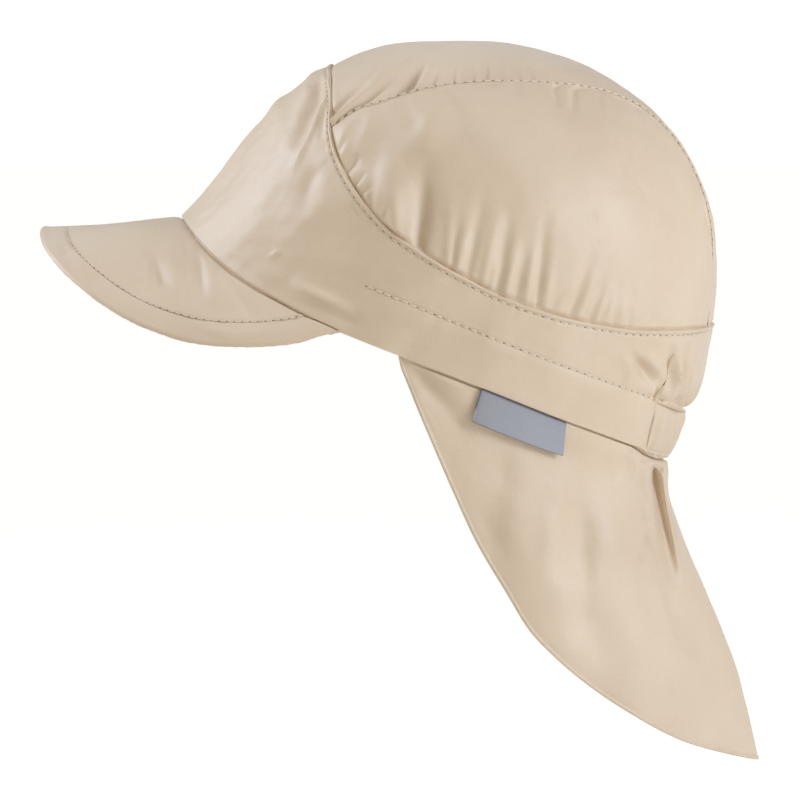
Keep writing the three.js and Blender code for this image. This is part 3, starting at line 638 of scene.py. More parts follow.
def makeSide(side):
    ends = np.linspace(0, 1, sideLook["columns"] + 1)
    along = mix(0.006, 0.994, ends)[:, None]
    rows = np.linspace(0, 1, sideLook["rows"] + 1)
    up = (rows - 0.12 * np.sin(2 * np.pi * rows) / np.pi)[None]  # rows closer together at both seams
    along, up = np.broadcast_arrays(along, up)
    p, fromWall, fromStrip = sideBase(along, up)
    normal = crownNormal(p)
    seam = arcs(p, 0)[:, 3][:, None] + 0 * up
    length = float(seam.max())
    lift = np.zeros(up.shape)
    for at, wide, tall, deep in sideDents:
        lift += 0.6 * deep * bell((along - at - 0.05 * up) / wide) * bell(up / tall)
    lift *= ease(fromWall / 9) * ease(fromStrip / 6)
    seed = 21 if side > 0 else 22
    start = ease(fromWall / 1.5)
    there = ease((along - 0.02) / 0.05) * ease((0.90 - along) / 0.12)
    folds = gathers(seam, fromWall, length, 5.0, 1.0, 13, seed) - 0.3
    lift += sideLook["gather"] * start * there * folds
    lift += 0.12 * start * gathers(seam, fromWall, length, 3.1, 1.0, 3.0, seed + 2)
    top = ease(fromStrip / 1.2) * ease(along / 0.1) * ease((1 - along) / 0.1)
    lift -= sideLook["puckers"] * top * gathers(seam, fromStrip, length, 7.5, 1.0, 6.5, seed + 4)
    creases = seenLift(p, sideCreases)
    lift += 0.88 * creases * ease((fromWall + 0.4) / 2.0) * ease((fromStrip + 0.2) / 2.5)
    lift += 0.22 * softNoise(p, 26, 5) + 0.05 * softNoise(p, 8, 6)
    lift += 0.3 * bell((fromWall - 7) / 6) * there
    lift -= sideLook["sunk"] * (1 - ease((fromWall + 0.2) / 2.2))
    lift -= 0.22 * bell((fromStrip - 0.2) / 0.9)
    sign = np.array([side, 1, 1])
    outer = (p + normal * lift[..., None]) * sign
    inner = (p + normal * (lift - cloth["thickness"])[..., None]) * sign
    name = "sidePanelCloth" + ("Left" if side > 0 else "Right")
    return sheetMesh(name, outer, inner, clothUv(outer))


for side, node in ((1, "side_panel_left"), (-1, "side_panel_right")):
    dress(makeSide(side), capCloth, [node])

stripLook = {"columns": 150, "rows": 260, "sunk": 0.75, "puckers": 0.5}
stripCreases = [
    (331, 124, 412, 53, 0.55, 0.9, 1.8, 0), (334, 112, 368, 80, 1.0, 1.3, -1.3, 0),
    (340, 121, 408, 66, 0.7, 1.4, -1.2, 0), (366, 86, 398, 58, 0.7, 1.0, 0.9, 1),
    (398, 100, 428, 58, 1.2, 1.8, -2.7, 0), (410, 96, 440, 54, 1.0, 2.2, 1.3, 0),
    (428, 90, 440, 66, 0.7, 1.2, -0.7, 0), (454, 83, 455, 64, 0.7, 1.2, -1.1, 0),
    (463, 82, 463, 66, 0.6, 1.0, 0.5, 0), (474, 80, 472, 62, 0.7, 1.2, -0.8, 0),
    (487, 81, 489, 56, 0.7, 1.3, -1.0, 0), (505, 82, 504, 66, 0.6, 1.0, -0.5, 0),
    (521, 82, 518, 60, 0.7, 1.3, -0.9, 0), (535, 83, 531, 62, 0.7, 1.2, -0.8, 0),
    (552, 86, 548, 70, 0.6, 1.0, -0.5, 0), (337, 78, 330, 112, 1.0, 1.6, 0.6, 1),
]


def stripBase(across, along):
    # between the two seams, with both ends bent to the wall's seam
    left = stripSeam(along, 1)
    right = stripSeam(along, -1)
    chord = right + (left - right) * across[..., None]
    for end in (0, 1):
        corner = stripSeam(np.array(float(end)), 1)
        spread = mix(-1, 1, across)
        turn = spread * stripTurn(0) if end == 0 else 180 - spread * (180 - stripTurn(1))
        short = np.where(turn > 180, 360 - turn, turn)
        arc = crownAt(turn, crown["height"] * wallSeam(np.abs(short)))
        level = np.stack([corner[0] * spread, corner[1] + 0 * spread, corner[2] + 0 * spread], -1)
        chord = chord + (arc - level) * (1 - along if end == 0 else along)[..., None]
    return onCrown(chord)


def makeStrip():
    across = np.linspace(0, 1, stripLook["columns"] + 1)
    across = across - 0.75 * np.sin(2 * np.pi * across) / (2 * np.pi)
    along = mix(-0.004, 1.008, np.linspace(0, 1, stripLook["rows"] + 1))
    across, along = np.meshgrid(across, along, indexing="ij")
    p = stripBase(across, np.clip(along, 0, 1))
    normal = crownNormal(p)
    run = arcs(p, 1)
    length = run[:, -1].mean()
    beyonds = ((0.0, 0.01, np.maximum(-along, 0)), (1.0, 0.99, np.maximum(along - 1, 0)))
    for end, near, beyond in beyonds:  # the cloth runs on a little under the wall's seam
        line = np.full(len(across), end)
        ahead = stripBase(across[:, 0], line) - stripBase(across[:, 0], 0 * line + near)
        ahead /= np.linalg.norm(ahead, axis=-1, keepdims=True)
        p = p + beyond[..., None] * ahead[:, None] * length
    edge = np.minimum(arcs(p, 0), arcs(p, 0)[-1:] - arcs(p, 0))
    seam = run.mean(0)[None] + 0 * edge
    lift = 0.18 * softNoise(p, 24, 7) + 0.05 * softNoise(p, 8, 8)
    ends = ease(along / 0.1) * ease((1 - along) / 0.08)
    for half, seed in ((across < 0.5, 31), (across >= 0.5, 32)):
        pucker = gathers(seam, edge, float(length), 7.0, 1.0, 6.0, seed)
        lift -= half * stripLook["puckers"] * ends * ease(edge / 1.2) * pucker
    lift += seenLift(p, stripCreases) * ease((edge + 0.3) / 2.0)
    front = np.minimum(run, run[:, -1:] - run)
    lift -= 0.75 * (1 - ease((edge + 0.1) / 0.9)) + 0.26 * bell((edge - 0.9) / 0.8)
    lift -= stripLook["sunk"] * (1 - ease((front + 0.1) / 2.2)) + 0.75 * ease((front - 2) / 30)
    lift -= 0.45 * bell((p[..., 1] - 32) / 28)
    outer = p + normal * lift[..., None]
    inner = p + normal * (lift - cloth["thickness"])[..., None]
    return sheetMesh("topStripCloth", outer, inner, clothUv(outer))


dress(makeStrip(), capCloth, ["top_strip"])


# elastic casing at the back
casingLook = {
    "columns": 280, "rows": 44, "height": 17.1, "under": 1.6, "tucked": 2.5,
    "belly": 0.55, "thickness": 2.2, "gap": 6.0, "deep": 1.15,
}


def casingSurface(turn, up):
    z = casingLook["height"] * up
    p = crownAt(turn, z)
    normal = crownNormal(p)
    normal[..., 2] = 0
    normal /= np.linalg.norm(normal, axis=-1, keepdims=True)
    run = arcs(p, 0)
    length = float(run[-1].max())
    start, end = run - casingLook["tucked"], length - casingLook["tucked"] - run
    lift = casingLook["belly"] * (1 - np.abs(2 * up - 1) ** 3.5) - 0.15
    lift -= 0.3 * ease(start / 12) * ease(end / 12)
    fold = gathers(run, z, length, casingLook["gap"], 1, 26, 41) - 0.35
    fold += 0.6 * gathers(run, casingLook["height"] - z, length, casingLook["gap"] * 1.3, 1, 22, 42) - 0.2
    lift += casingLook["deep"] * fold * (0.45 + 0.55 * np.sin(np.pi * up)) * ease(start / 4) * ease(end / 4)
    lift += 0.1 * softNoise(p, 8, 43)
    lift -= 0.22 * bell((z - casingLook["height"] + 1.4) / 0.4) + 0.22 * bell((z - 1.4) / 0.4)
    lift -= 0.5 * bell(z / 0.45) + 0.55 * bell((casingLook["height"] - z) / 0.45)
    lift -= 1.75 * (2 - ease((start + 0.3) / 0.7) - ease((end + 0.3) / 0.7))
    lift -= 0.5 * bell((casingLook["height"] - z) / 2.2) * ease(start / 8) * ease(end / 8)
    lift += 0.15 * bell((start - 1.1) / 0.8) + 0.15 * bell((end - 1.1) / 0.8)
    return p, normal, lift


def makeCasing():
    up = np.linspace(0, 1, casingLook["rows"] + 1)
    up = (up - 0.6 * np.sin(2 * np.pi * up) / (2 * np.pi))[None]
    share = np.linspace(0, 1, casingLook["columns"] + 1)[:, None]
    start = wallLook["endTurn"] + wallLook["endSlant"] * (1 - up) - casingLook["under"]
    turn = mix(start, 360 - start, share)
    turn, up = np.broadcast_arrays(turn, up)
    p, normal, lift = casingSurface(turn, up)
    outer = p + normal * lift[..., None]
    inner = p + normal * (np.minimum(lift, 0.2) - casingLook["thickness"])[..., None]
    return sheetMesh("elasticCasingCloth", outer, inner, clothUv(outer))


dress(makeCasing(), capCloth, ["elastic_casing"])


# peak
def peakTop(turn, share):
    # the peak's smooth upper face, share running from the root to the free edge
    around = np.abs(turn)
    root = crownAt(turn, peakRoot(turn))
    root = root + crownNormal(root) * mix(-0.9, 0.2, np.clip(share / 0.027, 0, 1))[..., None]
    offset = np.stack([peakOut(around) * np.sign(turn), -peakForward(around), -peakDown(around)], -1)
    top = root + offset * (peakLook["length"] * share)[..., None]
    top[..., 2] -= 0.8 * ease(share / 0.5) * (1 - ease((share - 0.9) / 0.1)) * bell(turn / 30)
    return top


def gridNormal(p):
    a = np.gradient(p, axis=0)
    b = np.gradient(p, axis=1)
    n = np.cross(a, b)
    return n / np.maximum(np.linalg.norm(n, axis=-1, keepdims=True), 1e-9)


peakCreases = [
    (151, 248, 164, 292, 1.6, 2.0, -1.1, 1), (140, 262, 156, 296, 1.4, 1.6, 0.5, 1),
    (168, 245, 180, 300, 1.8, 1.8, 0.8, 1), (197, 242, 202, 306, 1.5, 1.9, -1.2, 1),
    (210, 250, 217, 310, 1.6, 1.9, 0.7, 1), (183, 235, 190, 262, 1.0, 1.2, -0.5, 1),
    (147, 260, 153, 292, 1.2, 1.5, 0.6, 1), (187, 256, 193, 304, 1.4, 1.8, -0.7, 1),
    (235, 290, 258, 325, 1.8, 1.8, -0.5, 1), (112, 250, 150, 292, 3.4, 3.4, 0.5, 1),
    (60, 238, 70, 262, 1.6, 2.0, -0.8, 1), (75, 258, 84, 280, 1.6, 1.6, 0.5, 1),
    (88, 272, 100, 292, 1.6, 1.6, -0.5, 1), (190, 322, 240, 340, 1.6, 2.4, 0.5, 1),
    (100, 225, 170, 232, 2.4, 2.4, 0.4, 1), (225, 262, 236, 300, 1.4, 1.6, -0.5, 1),
]


def makePeak():
    reach, count = peakLook["turn"], peakLook["edgePoints"]
    fine = np.linspace(-reach, reach, count)
    tip = peakTop(fine, np.ones(count))
    turn = evenSpots(fine, tip, peakTop(fine, np.zeros(count)), peakLook["columns"])[:, None]
    rows = np.linspace(0, 1, peakLook["rows"] + 1)
    share = (1 - (1 - rows) ** 1.35)[None]
    turn, share = np.broadcast_arrays(turn, share)
    p = peakTop(turn, share)
    normal = gridNormal(p)
    if normal[peakLook["columns"] // 2, 10, 2] < 0:
        normal = -normal
    edge = np.full(p.shape[:-1], 1e9)
    for k in range(0, count, 4):
        edge = np.minimum(edge, np.linalg.norm(p - tip[k], axis=-1))
    fromRoot = arcs(p, 1)
    seam = arcs(p, 0)[:, -1][:, None] + 0 * share
    lift = seenLift(p, peakCreases) * ease(fromRoot / 6) * ease(edge / 3)
    lift += 0.12 * softNoise(p, 18, 51) * ease(fromRoot / 3)
    pulled = 0.75 + 0.25 * np.cos(2 * np.pi * seam / peakLook["stitchPitch"])
    inset = edge - peakLook["stitchIn"]
    lift -= 0.34 * bell(inset / 0.45) * pulled * ease((fromRoot + 1) / 3)
    pucker = gathers(seam, np.abs(inset), float(seam.max()), 5.4, 1, 4.0, 52)
    lift += 0.14 * pucker * ease(fromRoot / 5) * ease(edge / 4)
    lift += 0.25 * bell((edge - 4.4) / 3.0) - 0.25 * bell(fromRoot / 0.7)
    r = peakLook["round"]
    drop = r - np.sqrt(np.maximum(r * r - np.maximum(r - edge, 0) ** 2, 0))
    thick = peakLook["thickness"] * (0.55 + 0.45 * ease(edge / 9)) * ease((fromRoot + 4) / 5)
    thick = thick * mix(0.3, 1, ease((reach + 0.5 - np.abs(turn)) / 4))
    outer = p + normal * (lift - drop)[..., None]
    flat = lift * (edge < 6)
    inner = p + normal * (0.3 * flat - np.maximum(thick - drop * 0.9, drop + 0.05))[..., None]
    return sheetMesh("peakCloth", outer, inner, clothUv(outer)), p, normal, edge


peakPiece, peakGrid, peakNormals, peakEdge = makePeak()
dress(peakPiece, peakCloth, ["peak"])
print("crown and peak made")


# neck flap with its hem and the label
flapLook = {
    "turn": 83.0, "run": 67.7, "drop": 81.1, "tuck": 1.25, "backTuck": 1.0, "pinch": 3.8,
    "columns": 300, "rows": 120, "reach": 0.988, "edgePoints": 3001, "thickness": 0.7,
    "hemWidth": 1.7, "hemThickness": 1.55, "hemColumns": 520, "hemRows": 13, "hemReach": 0.998,
    "stitchPitch": 2.9,
}
# along the free edge, matching point of the sewn edge, side, back, down
flapRows = [
    (0, 0, 1, 0, 0), (0.055, 0.065, 0.992, 0.051, 0.104), (0.153, 0.165, 0.97, 0.14, 0.286),
    (0.219, 0.22, 0.946, 0.201, 0.407), (0.303, 0.275, 0.909, 0.28, 0.557),
    (0.392, 0.33, 0.875, 0.371, 0.699), (0.469, 0.38, 0.833, 0.451, 0.817),
    (0.53, 0.42, 0.785, 0.52, 0.88), (0.626, 0.495, 0.675, 0.63, 0.952),
    (0.724, 0.59, 0.537, 0.739, 0.999), (0.805, 0.69, 0.406, 0.825, 1.02),
    (0.877, 0.79, 0.269, 0.897, 1.018), (0.946, 0.905, 0.131, 0.962, 1.007),
    (0.982, 0.97, 0.048, 0.99, 1.002), (1, 1, 0, 1, 1),
]
# down, how far the flap hangs in or out of its straight line
hangRows = [
    (0, 0), (0.05, -0.22), (0.1, -0.6), (0.15, -0.84), (0.25, -0.74), (0.36, -0.38), (0.5, -0.02),
    (0.61, 0.24), (0.72, 0.52), (0.84, 0.45), (0.94, 0.24), (1, 0),
]
# along, wide, from and to on the way down, depth in millimetres
flapFolds = [
    (0.34, 0.05, 0.25, 1.05, -1.04), (0.6, 0.04, 0.15, 0.95, -1.69), (0.7, 0.05, 0.2, 1.2, 1.56),
    (0.85, 0.035, -0.05, 0.75, -2.6),
]
flapCreases = [
    (646, 464, 657, 550, 1.2, 3.0, 0.8, 0), (633, 450, 612, 486, 0.7, 2.2, -1.3, 0),
    (643, 456, 634, 500, 0.9, 2.4, -1.0, 0), (648, 458, 650, 480, 0.6, 1.0, 0.7, 0),
    (641, 452, 645, 466, 0.6, 0.8, -0.9, 0), (570, 500, 568, 590, 4.6, 4.6, -1.4, 1),
    (583, 590, 574, 650, 3.6, 3.6, -0.9, 1), (552, 500, 548, 590, 4.0, 4.0, 0.8, 1),
    (598, 520, 594, 620, 4.0, 4.0, 0.9, 1), (649, 522, 640, 562, 1.5, 1.8, -1.2, 1),
    (700, 560, 738, 700, 4.6, 4.6, 0.9, 1), (690, 590, 722, 710, 4.2, 4.2, -0.6, 1),
    (412, 370, 474, 436, 2.6, 3.6, -1.7, 0), (424, 362, 470, 394, 2.6, 2.6, 0.9, 1),
    (404, 378, 440, 440, 1.6, 2.2, 0.6, 1), (500, 470, 520, 560, 6.0, 6.0, 1.0, 1),
    (654, 462, 659, 471, 0.7, 0.7, -1.0, 1), (620, 470, 606, 560, 5.0, 7.0, 0.9, 1),
    (630, 600, 660, 700, 5.0, 5.0, 0.6, 1),
]
# the deep fold next to the back, which moves the cloth sideways
flapSideFolds = [
    (651, 470, 675, 588, 1.6, 2.5, -6.2, 0), (661, 472, 687, 588, 1.3, 2.4, 5.2, 0),
    (641, 470, 653, 560, 2.0, 3.2, 1.4, 0),
]
flapAlong, flapSeams, flapSides, flapBacks, flapDowns = columns(flapRows)
flapSeam = smoothThrough(flapAlong, flapSeams)
flapSide = smoothThrough(flapAlong, flapSides)
flapBack = smoothThrough(flapAlong, flapBacks)
flapDown = smoothThrough(flapAlong, flapDowns)
hang = smoothThrough(*columns(hangRows))
frontRim = crownAt(flapLook["turn"], 0.0)


def flapTop(along):
    # the flap's sewn edge inside the head opening, and the way outwards
    turn = mix(flapLook["turn"], 180, flapSeam(along))
    rim = crownAt(turn, 0.0)
    out = crownNormal(rim)
    out[..., 2] = 0
    out /= np.linalg.norm(out, axis=-1, keepdims=True)
    tuck = mix(flapLook["tuck"], flapLook["backTuck"], ease((turn - 135) / 15))
    rim = rim - out * tuck[..., None]
    rim[..., 2] = footRise(turn) - 0.2
    return rim, out


def flapEdge(along):
    return np.stack([
        (frontRim[0] - flapLook["tuck"]) * flapSide(along),
        mix(frontRim[1], crown["halfLength"] + flapLook["run"], flapBack(along)),
        -0.3 - flapLook["drop"] * flapDown(along),
    ], -1)


def flapBase(turnShare, down):
    # turnShare runs from -1 at the right front end to 1 at the left front end
    along = 1 - np.abs(turnShare)
    rim, out = flapTop(along)
    edge = flapEdge(along)
    length = np.linalg.norm(edge - rim, axis=-1)
    p = rim + (edge - rim) * down[..., None]
    pinch = flapLook["pinch"] * length / (flapLook["run"] + flapLook["drop"] / 2)
    push = pinch * hang(down) * ease(along * 1.6)
    for at, wide, low, high, deep in flapFolds:
        reach = ease((down - low) * 4) * ease((high - down) * 4)
        push = push + deep * reach * bell((along - at) / wide) * ease(down * 4)
    p = p + out * push[..., None]
    p[..., 0] = np.where(turnShare < 0, -p[..., 0], p[..., 0])
    out = out.copy()
    out[..., 0] = np.where(turnShare < 0, -out[..., 0], out[..., 0])
    return p, out, length


def flapNormal(turnShare, down):
    step = 0.01
    r = np.clip(turnShare, 2 * step - 1, 1 - 2 * step)
    d = np.clip(down, step, 1 - step)
    across = flapBase(r + step, d)[0] - flapBase(r - step, d)[0]
    fall = flapBase(r, d + step)[0] - flapBase(r, d - step)[0]
    normal = np.cross(across, fall)
    normal /= np.maximum(np.linalg.norm(normal, axis=-1, keepdims=True), 1e-9)
    return normal


def flapSurface(turnShare, down):
    p, out, length = flapBase(turnShare, down)
    normal = flapNormal(turnShare, down)
    flip = np.sum(normal * out, -1, keepdims=True) < 0
    normal = np.where(flip, -normal, normal)
    depth = down * length
    lift = seenLift(p, flapCreases) * ease(depth / 2.5)
    beside = seenLift(p, flapSideFolds) * ease(depth / 6) * ease(np.abs(turnShare) / 0.05)
    lift += 0.35 * softNoise(p, 44, 61) * ease(depth / 25) + 0.06 * softNoise(p, 11, 62) * ease(depth / 4)
    along = 1 - np.abs(turnShare)
    # the cloth bulges under the wall, and stands back in a narrow slot right below the casing
    lift += 0.9 * ease((depth - 0.3) / 0.5) * bell(depth / 13) * (1 - 0.4 * ease((along - 0.8) / 0.12))
    slot = 1.5 * bell(depth / 0.8) * ease((along - 0.76) / 0.05)
    sewn = along * 150  # millimetres along the sewn edge
    pleat = gathers(sewn + (turnShare < 0) * 3.0, depth, 152, 6.0, 1, 13, 63) - 0.35
    lift += 0.75 * pleat * ease((along - 0.66) / 0.16) * ease(depth / 2) * bell(depth / 16)
    lift = lift * ease((length - 2) / 12) - slot
    # above the seam the cloth runs on behind the band
    behind = np.maximum(-down, 0) * length
    flat = down < 0
    rim = flapTop(along)[0]
    rim[..., 0] = np.where(turnShare < 0, -rim[..., 0], rim[..., 0])
    up = rim + np.array([0, 0, 1.0]) * behind[..., None]
    p = np.where(flat[..., None], up, p)
    p[..., 0] += np.sign(turnShare) * beside * ~flat
    normal = np.where(flat[..., None], out, normal)
    lift = np.where(flat, 0, lift)
    return p, normal, lift


def edgeShare(turnShare, width):
    # the share of the way down that a width along the free edge takes up
    step = 0.01
    r = np.clip(turnShare, step - 1, 1 - step)
    one = np.ones(r.shape)
    run = flapBase(r + step, one)[0] - flapBase(r - step, one)[0]
    run /= np.linalg.norm(run, axis=-1, keepdims=True)
    fall = flapBase(turnShare, one)[0] - flapBase(turnShare, 0 * one)[0]
    across = np.linalg.norm(fall - run * np.sum(fall * run, -1, keepdims=True), axis=-1)
    return width / np.maximum(across, width)


def evenRounds(count, reach):
    points = flapLook["edgePoints"]
    fine = np.linspace(-reach, reach, points)
    edge = flapBase(fine, np.ones(points))[0]
    return evenSpots(fine, edge, flapBase(fine, np.zeros(points))[0], count)[:, None]


def makeFlap():
    turnShare = evenRounds(flapLook["columns"], flapLook["reach"])
    low = 1 - edgeShare(turnShare, flapLook["hemWidth"] * 0.6)
    rows = np.linspace(0, 1, flapLook["rows"] + 1)
    down = mix(0, low, rows[None] ** 1.15)
    length = flapBase(turnShare, np.zeros(turnShare.shape))[2]
    turn = mix(flapLook["turn"], 180, flapSeam(1 - np.abs(turnShare)))
    tuck = -(4.0 * ease((120 - turn) / 25) + 1.2) / np.maximum(length, 8)  # the part above the seam
    down = np.concatenate([mix(tuck, 0 * tuck, np.linspace(0, 0.9, 5)[None]), down], 1)
    turnShare, down = np.broadcast_arrays(turnShare, down)
    p, normal, lift = flapSurface(turnShare, down)
    outer = p + normal * lift[..., None]
    inner = p + normal * (lift - flapLook["thickness"])[..., None]
    return sheetMesh("neckFlapCloth", outer, inner, clothUv(outer))


def makeHem():
    turnShare = evenRounds(flapLook["hemColumns"], flapLook["hemReach"])
    share = edgeShare(turnShare, flapLook["hemWidth"])
    q = np.linspace(0, 1, flapLook["hemRows"])[None]
    down = 1 - share * q
    turnShare, down = np.broadcast_arrays(turnShare, down)
    q = np.broadcast_to(q, down.shape)
    p, normal, lift = flapSurface(turnShare, down)
    p[..., 2] += 1.3 * bell((1 - np.abs(turnShare)) / 0.012)
    lift = lift[:, -1:] + 0 * lift
    middle = -flapLook["thickness"] / 2
    run = arcs(p, 0)
    puff = flapLook["hemThickness"] / 2 * (1 + 0.1 * softNoise(p, 5, 71))
    rounded = np.where(q < 0.4, np.sqrt(np.maximum(1 - (1 - q / 0.4) ** 2, 0)), 1)
    tail = 1 - 0.45 * ease((q - 0.55) / 0.4)
    groove = 0.25 * bell((q - 0.72) / 0.1) * (0.7 + 0.3 * np.cos(2 * np.pi * run / flapLook["stitchPitch"]))
    out = lift + middle + puff * rounded * tail - groove + 0.02
    back = lift + middle - puff * rounded * tail - 0.02
    outer = p + normal * out[..., None]
    inner = p + normal * back[..., None]
    return sheetMesh("flapHemCloth", outer, inner, clothUv(outer)), outer[:, 9], normal[:, 9]


flapPiece = makeFlap()
hemPiece, hemLine, hemNormals = makeHem()
dress(flapPiece, flapCloth, ["neck_flap"])
dress(hemPiece, flapCloth, ["flap_hem"])

labelLook = {
    "turn": 101.6, "length": 31.0, "drop": 10.9, "thickness": 0.9, "standOff": 0.35, "lean": 1.3,
    "columns": 97, "rows": 37, "foldHeight": 0.45,
    "face": (0.322, 0.316, 0.322), "edge": (0.03, 0.035, 0.075),
}


def labelMaterial():
    material = bpy.data.materials.new("greyWovenTape")
    material.use_nodes = True
    tree = material.node_tree
    shader = tree.nodes["Principled BSDF"]
    shader.inputs["Roughness"].default_value = 0.5
    shader.inputs["Sheen Weight"].default_value = 0.15
    rim = nodeOf(tree, "ShaderNodeAttribute", attribute_name="edgeBand", attribute_type="GEOMETRY")
    blend = nodeOf(tree, "ShaderNodeMix", data_type="RGBA")
    blend.inputs["A"].default_value = (*labelLook["face"], 1)
    blend.inputs["B"].default_value = (*labelLook["edge"], 1)
    tree.links.new(rim.outputs["Fac"], blend.inputs["Factor"])
    uv = nodeOf(tree, "ShaderNodeUVMap", uv_map="clothMm")
    wave = nodeOf(tree, "ShaderNodeTexWave", wave_type="BANDS", bands_direction="Y")
    wave.inputs["Scale"].default_value = 0.9
    wave.inputs["Distortion"].default_value = 0.6
    tree.links.new(uv.outputs["UV"], wave.inputs["Vector"])
    ribs = nodeOf(tree, "ShaderNodeBump")
    ribs.inputs["Strength"].default_value = 0.7
    ribs.inputs["Distance"].default_value = 0.00006
    tree.links.new(wave.outputs["Fac"], ribs.inputs["Height"])
    tree.links.new(ribs.outputs["Normal"], shader.inputs["Normal"])
    fleck = nodeOf(tree, "ShaderNodeTexNoise")
    fleck.inputs["Scale"].default_value = 2.2
    tree.links.new(uv.outputs["UV"], fleck.inputs["Vector"])
    tone = nodeOf(tree, "ShaderNodeMix", data_type="RGBA", blend_type="SOFT_LIGHT")
    tone.inputs["Factor"].default_value = 0.35
    tree.links.new(blend.outputs["Result"], tone.inputs["A"])
    tree.links.new(fleck.outputs["Fac"], tone.inputs["B"])
    tree.links.new(tone.outputs["Result"], shader.inputs["Base Color"])
    return material


def makeLabel():
    # the label hangs from the flap's sewn edge, flat across, with its fold at the bottom
    girth = math.pi * math.sqrt((crown["halfLength"] ** 2 + crown["halfWidth"] ** 2) / 2)
    span = 180 * labelLook["length"] / girth
    shares = np.linspace(0, 1, 4001)
    turns = mix(flapLook["turn"], 180, flapSeam(shares))
    steps = [np.linspace(0, 1, labelLook[key]) for key in ("columns", "rows")]
    a, b = np.meshgrid(*steps, indexing="ij")
    turn = labelLook["turn"] + span * (a + 0.04 * b * (1 - a))
    along = np.interp(turn, turns, shares)
    length = flapBase(1 - along, np.zeros(a.shape))[2]
    down = b * labelLook["drop"] / length
    p, normal, lift = flapSurface(1 - along, down)
    p = p[:, :1] + (p[:, -1:] - p[:, :1]) * b[..., None]
    halfWay = labelLook["rows"] // 2
    normal = normal[:, halfWay:halfWay + 1] + 0 * normal
    lift = lift[:, -1:] * b + 0.9 * (1 - b) + 0.1
    u = a * labelLook["length"]
    v = b * labelLook["drop"]
    off = labelLook["standOff"] + labelLook["lean"] * b**1.6 + 0.25 * np.sin(2.2 * a + 0.4) * b
    fold = np.minimum(labelLook["drop"] - v, labelLook["foldHeight"]) / labelLook["foldHeight"]
    rounded = np.sqrt(np.maximum(1 - (1 - fold) ** 2, 0))
    half = labelLook["thickness"] / 2
    slit = 0.10 * bell((u - 0.5) / 0.35)
    outer = p + normal * (lift + off + half + half * rounded - slit)[..., None]
    inner = p + normal * (lift + off + half - half * rounded)[..., None]
    piece = sheetMesh("bareSideLabel", outer, inner, np.stack([u, v], -1))
    # a darker line along the sewn edge, down the front side and along the fold
    band = bell(v / 0.35) + 0.85 * bell(u / 0.3) * ease((7.5 - v) / 2)
    band = np.clip(band + 0.5 * bell((labelLook["drop"] - v) / 0.25), 0, 1)
    layer = piece.data.attributes.new("edgeBand", "FLOAT", "POINT")
    layer.data.foreach_set("value", np.concatenate([band.ravel(), band.ravel() * 0.7]))
    return piece


dress(makeLabel(), labelMaterial(), ["side_label"])


# stitches along the seams, with dark dots of painted shade between them, placed by one node group
def stitchGroup():
    group = bpy.data.node_groups.new("stitchesOnPoints", "GeometryNodeTree")
    face = group.interface
    face.new_socket("Geometry", in_out="INPUT", socket_type="NodeSocketGeometry")
    for name, kind, value in (
        ("Length", "NodeSocketFloat", 0.0022), ("Width", "NodeSocketFloat", 0.0005),
        ("Height", "NodeSocketFloat", 0.0004), ("Jitter", "NodeSocketFloat", 0.12),
        ("Segments", "NodeSocketInt", 8), ("Rings", "NodeSocketInt", 5),
        ("Seed", "NodeSocketInt", 1), ("Material", "NodeSocketMaterial", None),
    ):
        socket = face.new_socket(name, in_out="INPUT", socket_type=kind)
        if value is not None:
            socket.default_value = value
    face.new_socket("Geometry", in_out="OUTPUT", socket_type="NodeSocketGeometry")
    nodes, link = group.nodes, group.links.new
    given = nodes.new("NodeGroupInput")
    done = nodes.new("NodeGroupOutput")
    ball = nodes.new("GeometryNodeMeshUVSphere")
    link(given.outputs["Segments"], ball.inputs["Segments"])
    link(given.outputs["Rings"], ball.inputs["Rings"])
    ball.inputs["Radius"].default_value = 0.5
    vectors = []
    for name in ("out", "along"):
        node = nodes.new("GeometryNodeInputNamedAttribute")
        node.data_type = "FLOAT_VECTOR"
        node.inputs["Name"].default_value = name
        vectors.append(node)
    turn = nodes.new("FunctionNodeAxesToRotation")
    turn.primary_axis = "Z"
    turn.secondary_axis = "X"
    link(vectors[0].outputs["Attribute"], turn.inputs["Primary Axis"])
    link(vectors[1].outputs["Attribute"], turn.inputs["Secondary Axis"])
    size = nodes.new("ShaderNodeCombineXYZ")
    for name, axis in (("Length", "X"), ("Width", "Y"), ("Height", "Z")):
        link(given.outputs[name], size.inputs[axis])
    spread = nodes.new("FunctionNodeRandomValue")
    spread.data_type = "FLOAT"
    for operation, socket in (("SUBTRACT", 2), ("ADD", 3)):  # least and most size
        bound = nodes.new("ShaderNodeMath")
        bound.operation = operation
        bound.inputs[0].default_value = 1
        link(given.outputs["Jitter"], bound.inputs[1])
        link(bound.outputs[0], spread.inputs[socket])
    link(given.outputs["Seed"], spread.inputs["Seed"])
    scaled = nodes.new("ShaderNodeVectorMath")
    scaled.operation = "SCALE"
    link(size.outputs[0], scaled.inputs[0])
    link(spread.outputs[1], scaled.inputs["Scale"])
    put = nodes.new("GeometryNodeInstanceOnPoints")
    link(given.outputs["Geometry"], put.inputs["Points"])
    link(ball.outputs["Mesh"], put.inputs["Instance"])
    link(turn.outputs["Rotation"], put.inputs["Rotation"])
    link(scaled.outputs["Vector"], put.inputs["Scale"])
    real = nodes.new("GeometryNodeRealizeInstances")
    link(put.outputs["Instances"], real.inputs["Geometry"])
    paint = nodes.new("GeometryNodeSetMaterial")
    link(real.outputs["Geometry"], paint.inputs["Geometry"])
    link(given.outputs["Material"], paint.inputs["Material"])
    link(paint.outputs["Geometry"], done.inputs["Geometry"])
    return group


stitcher = stitchGroup()


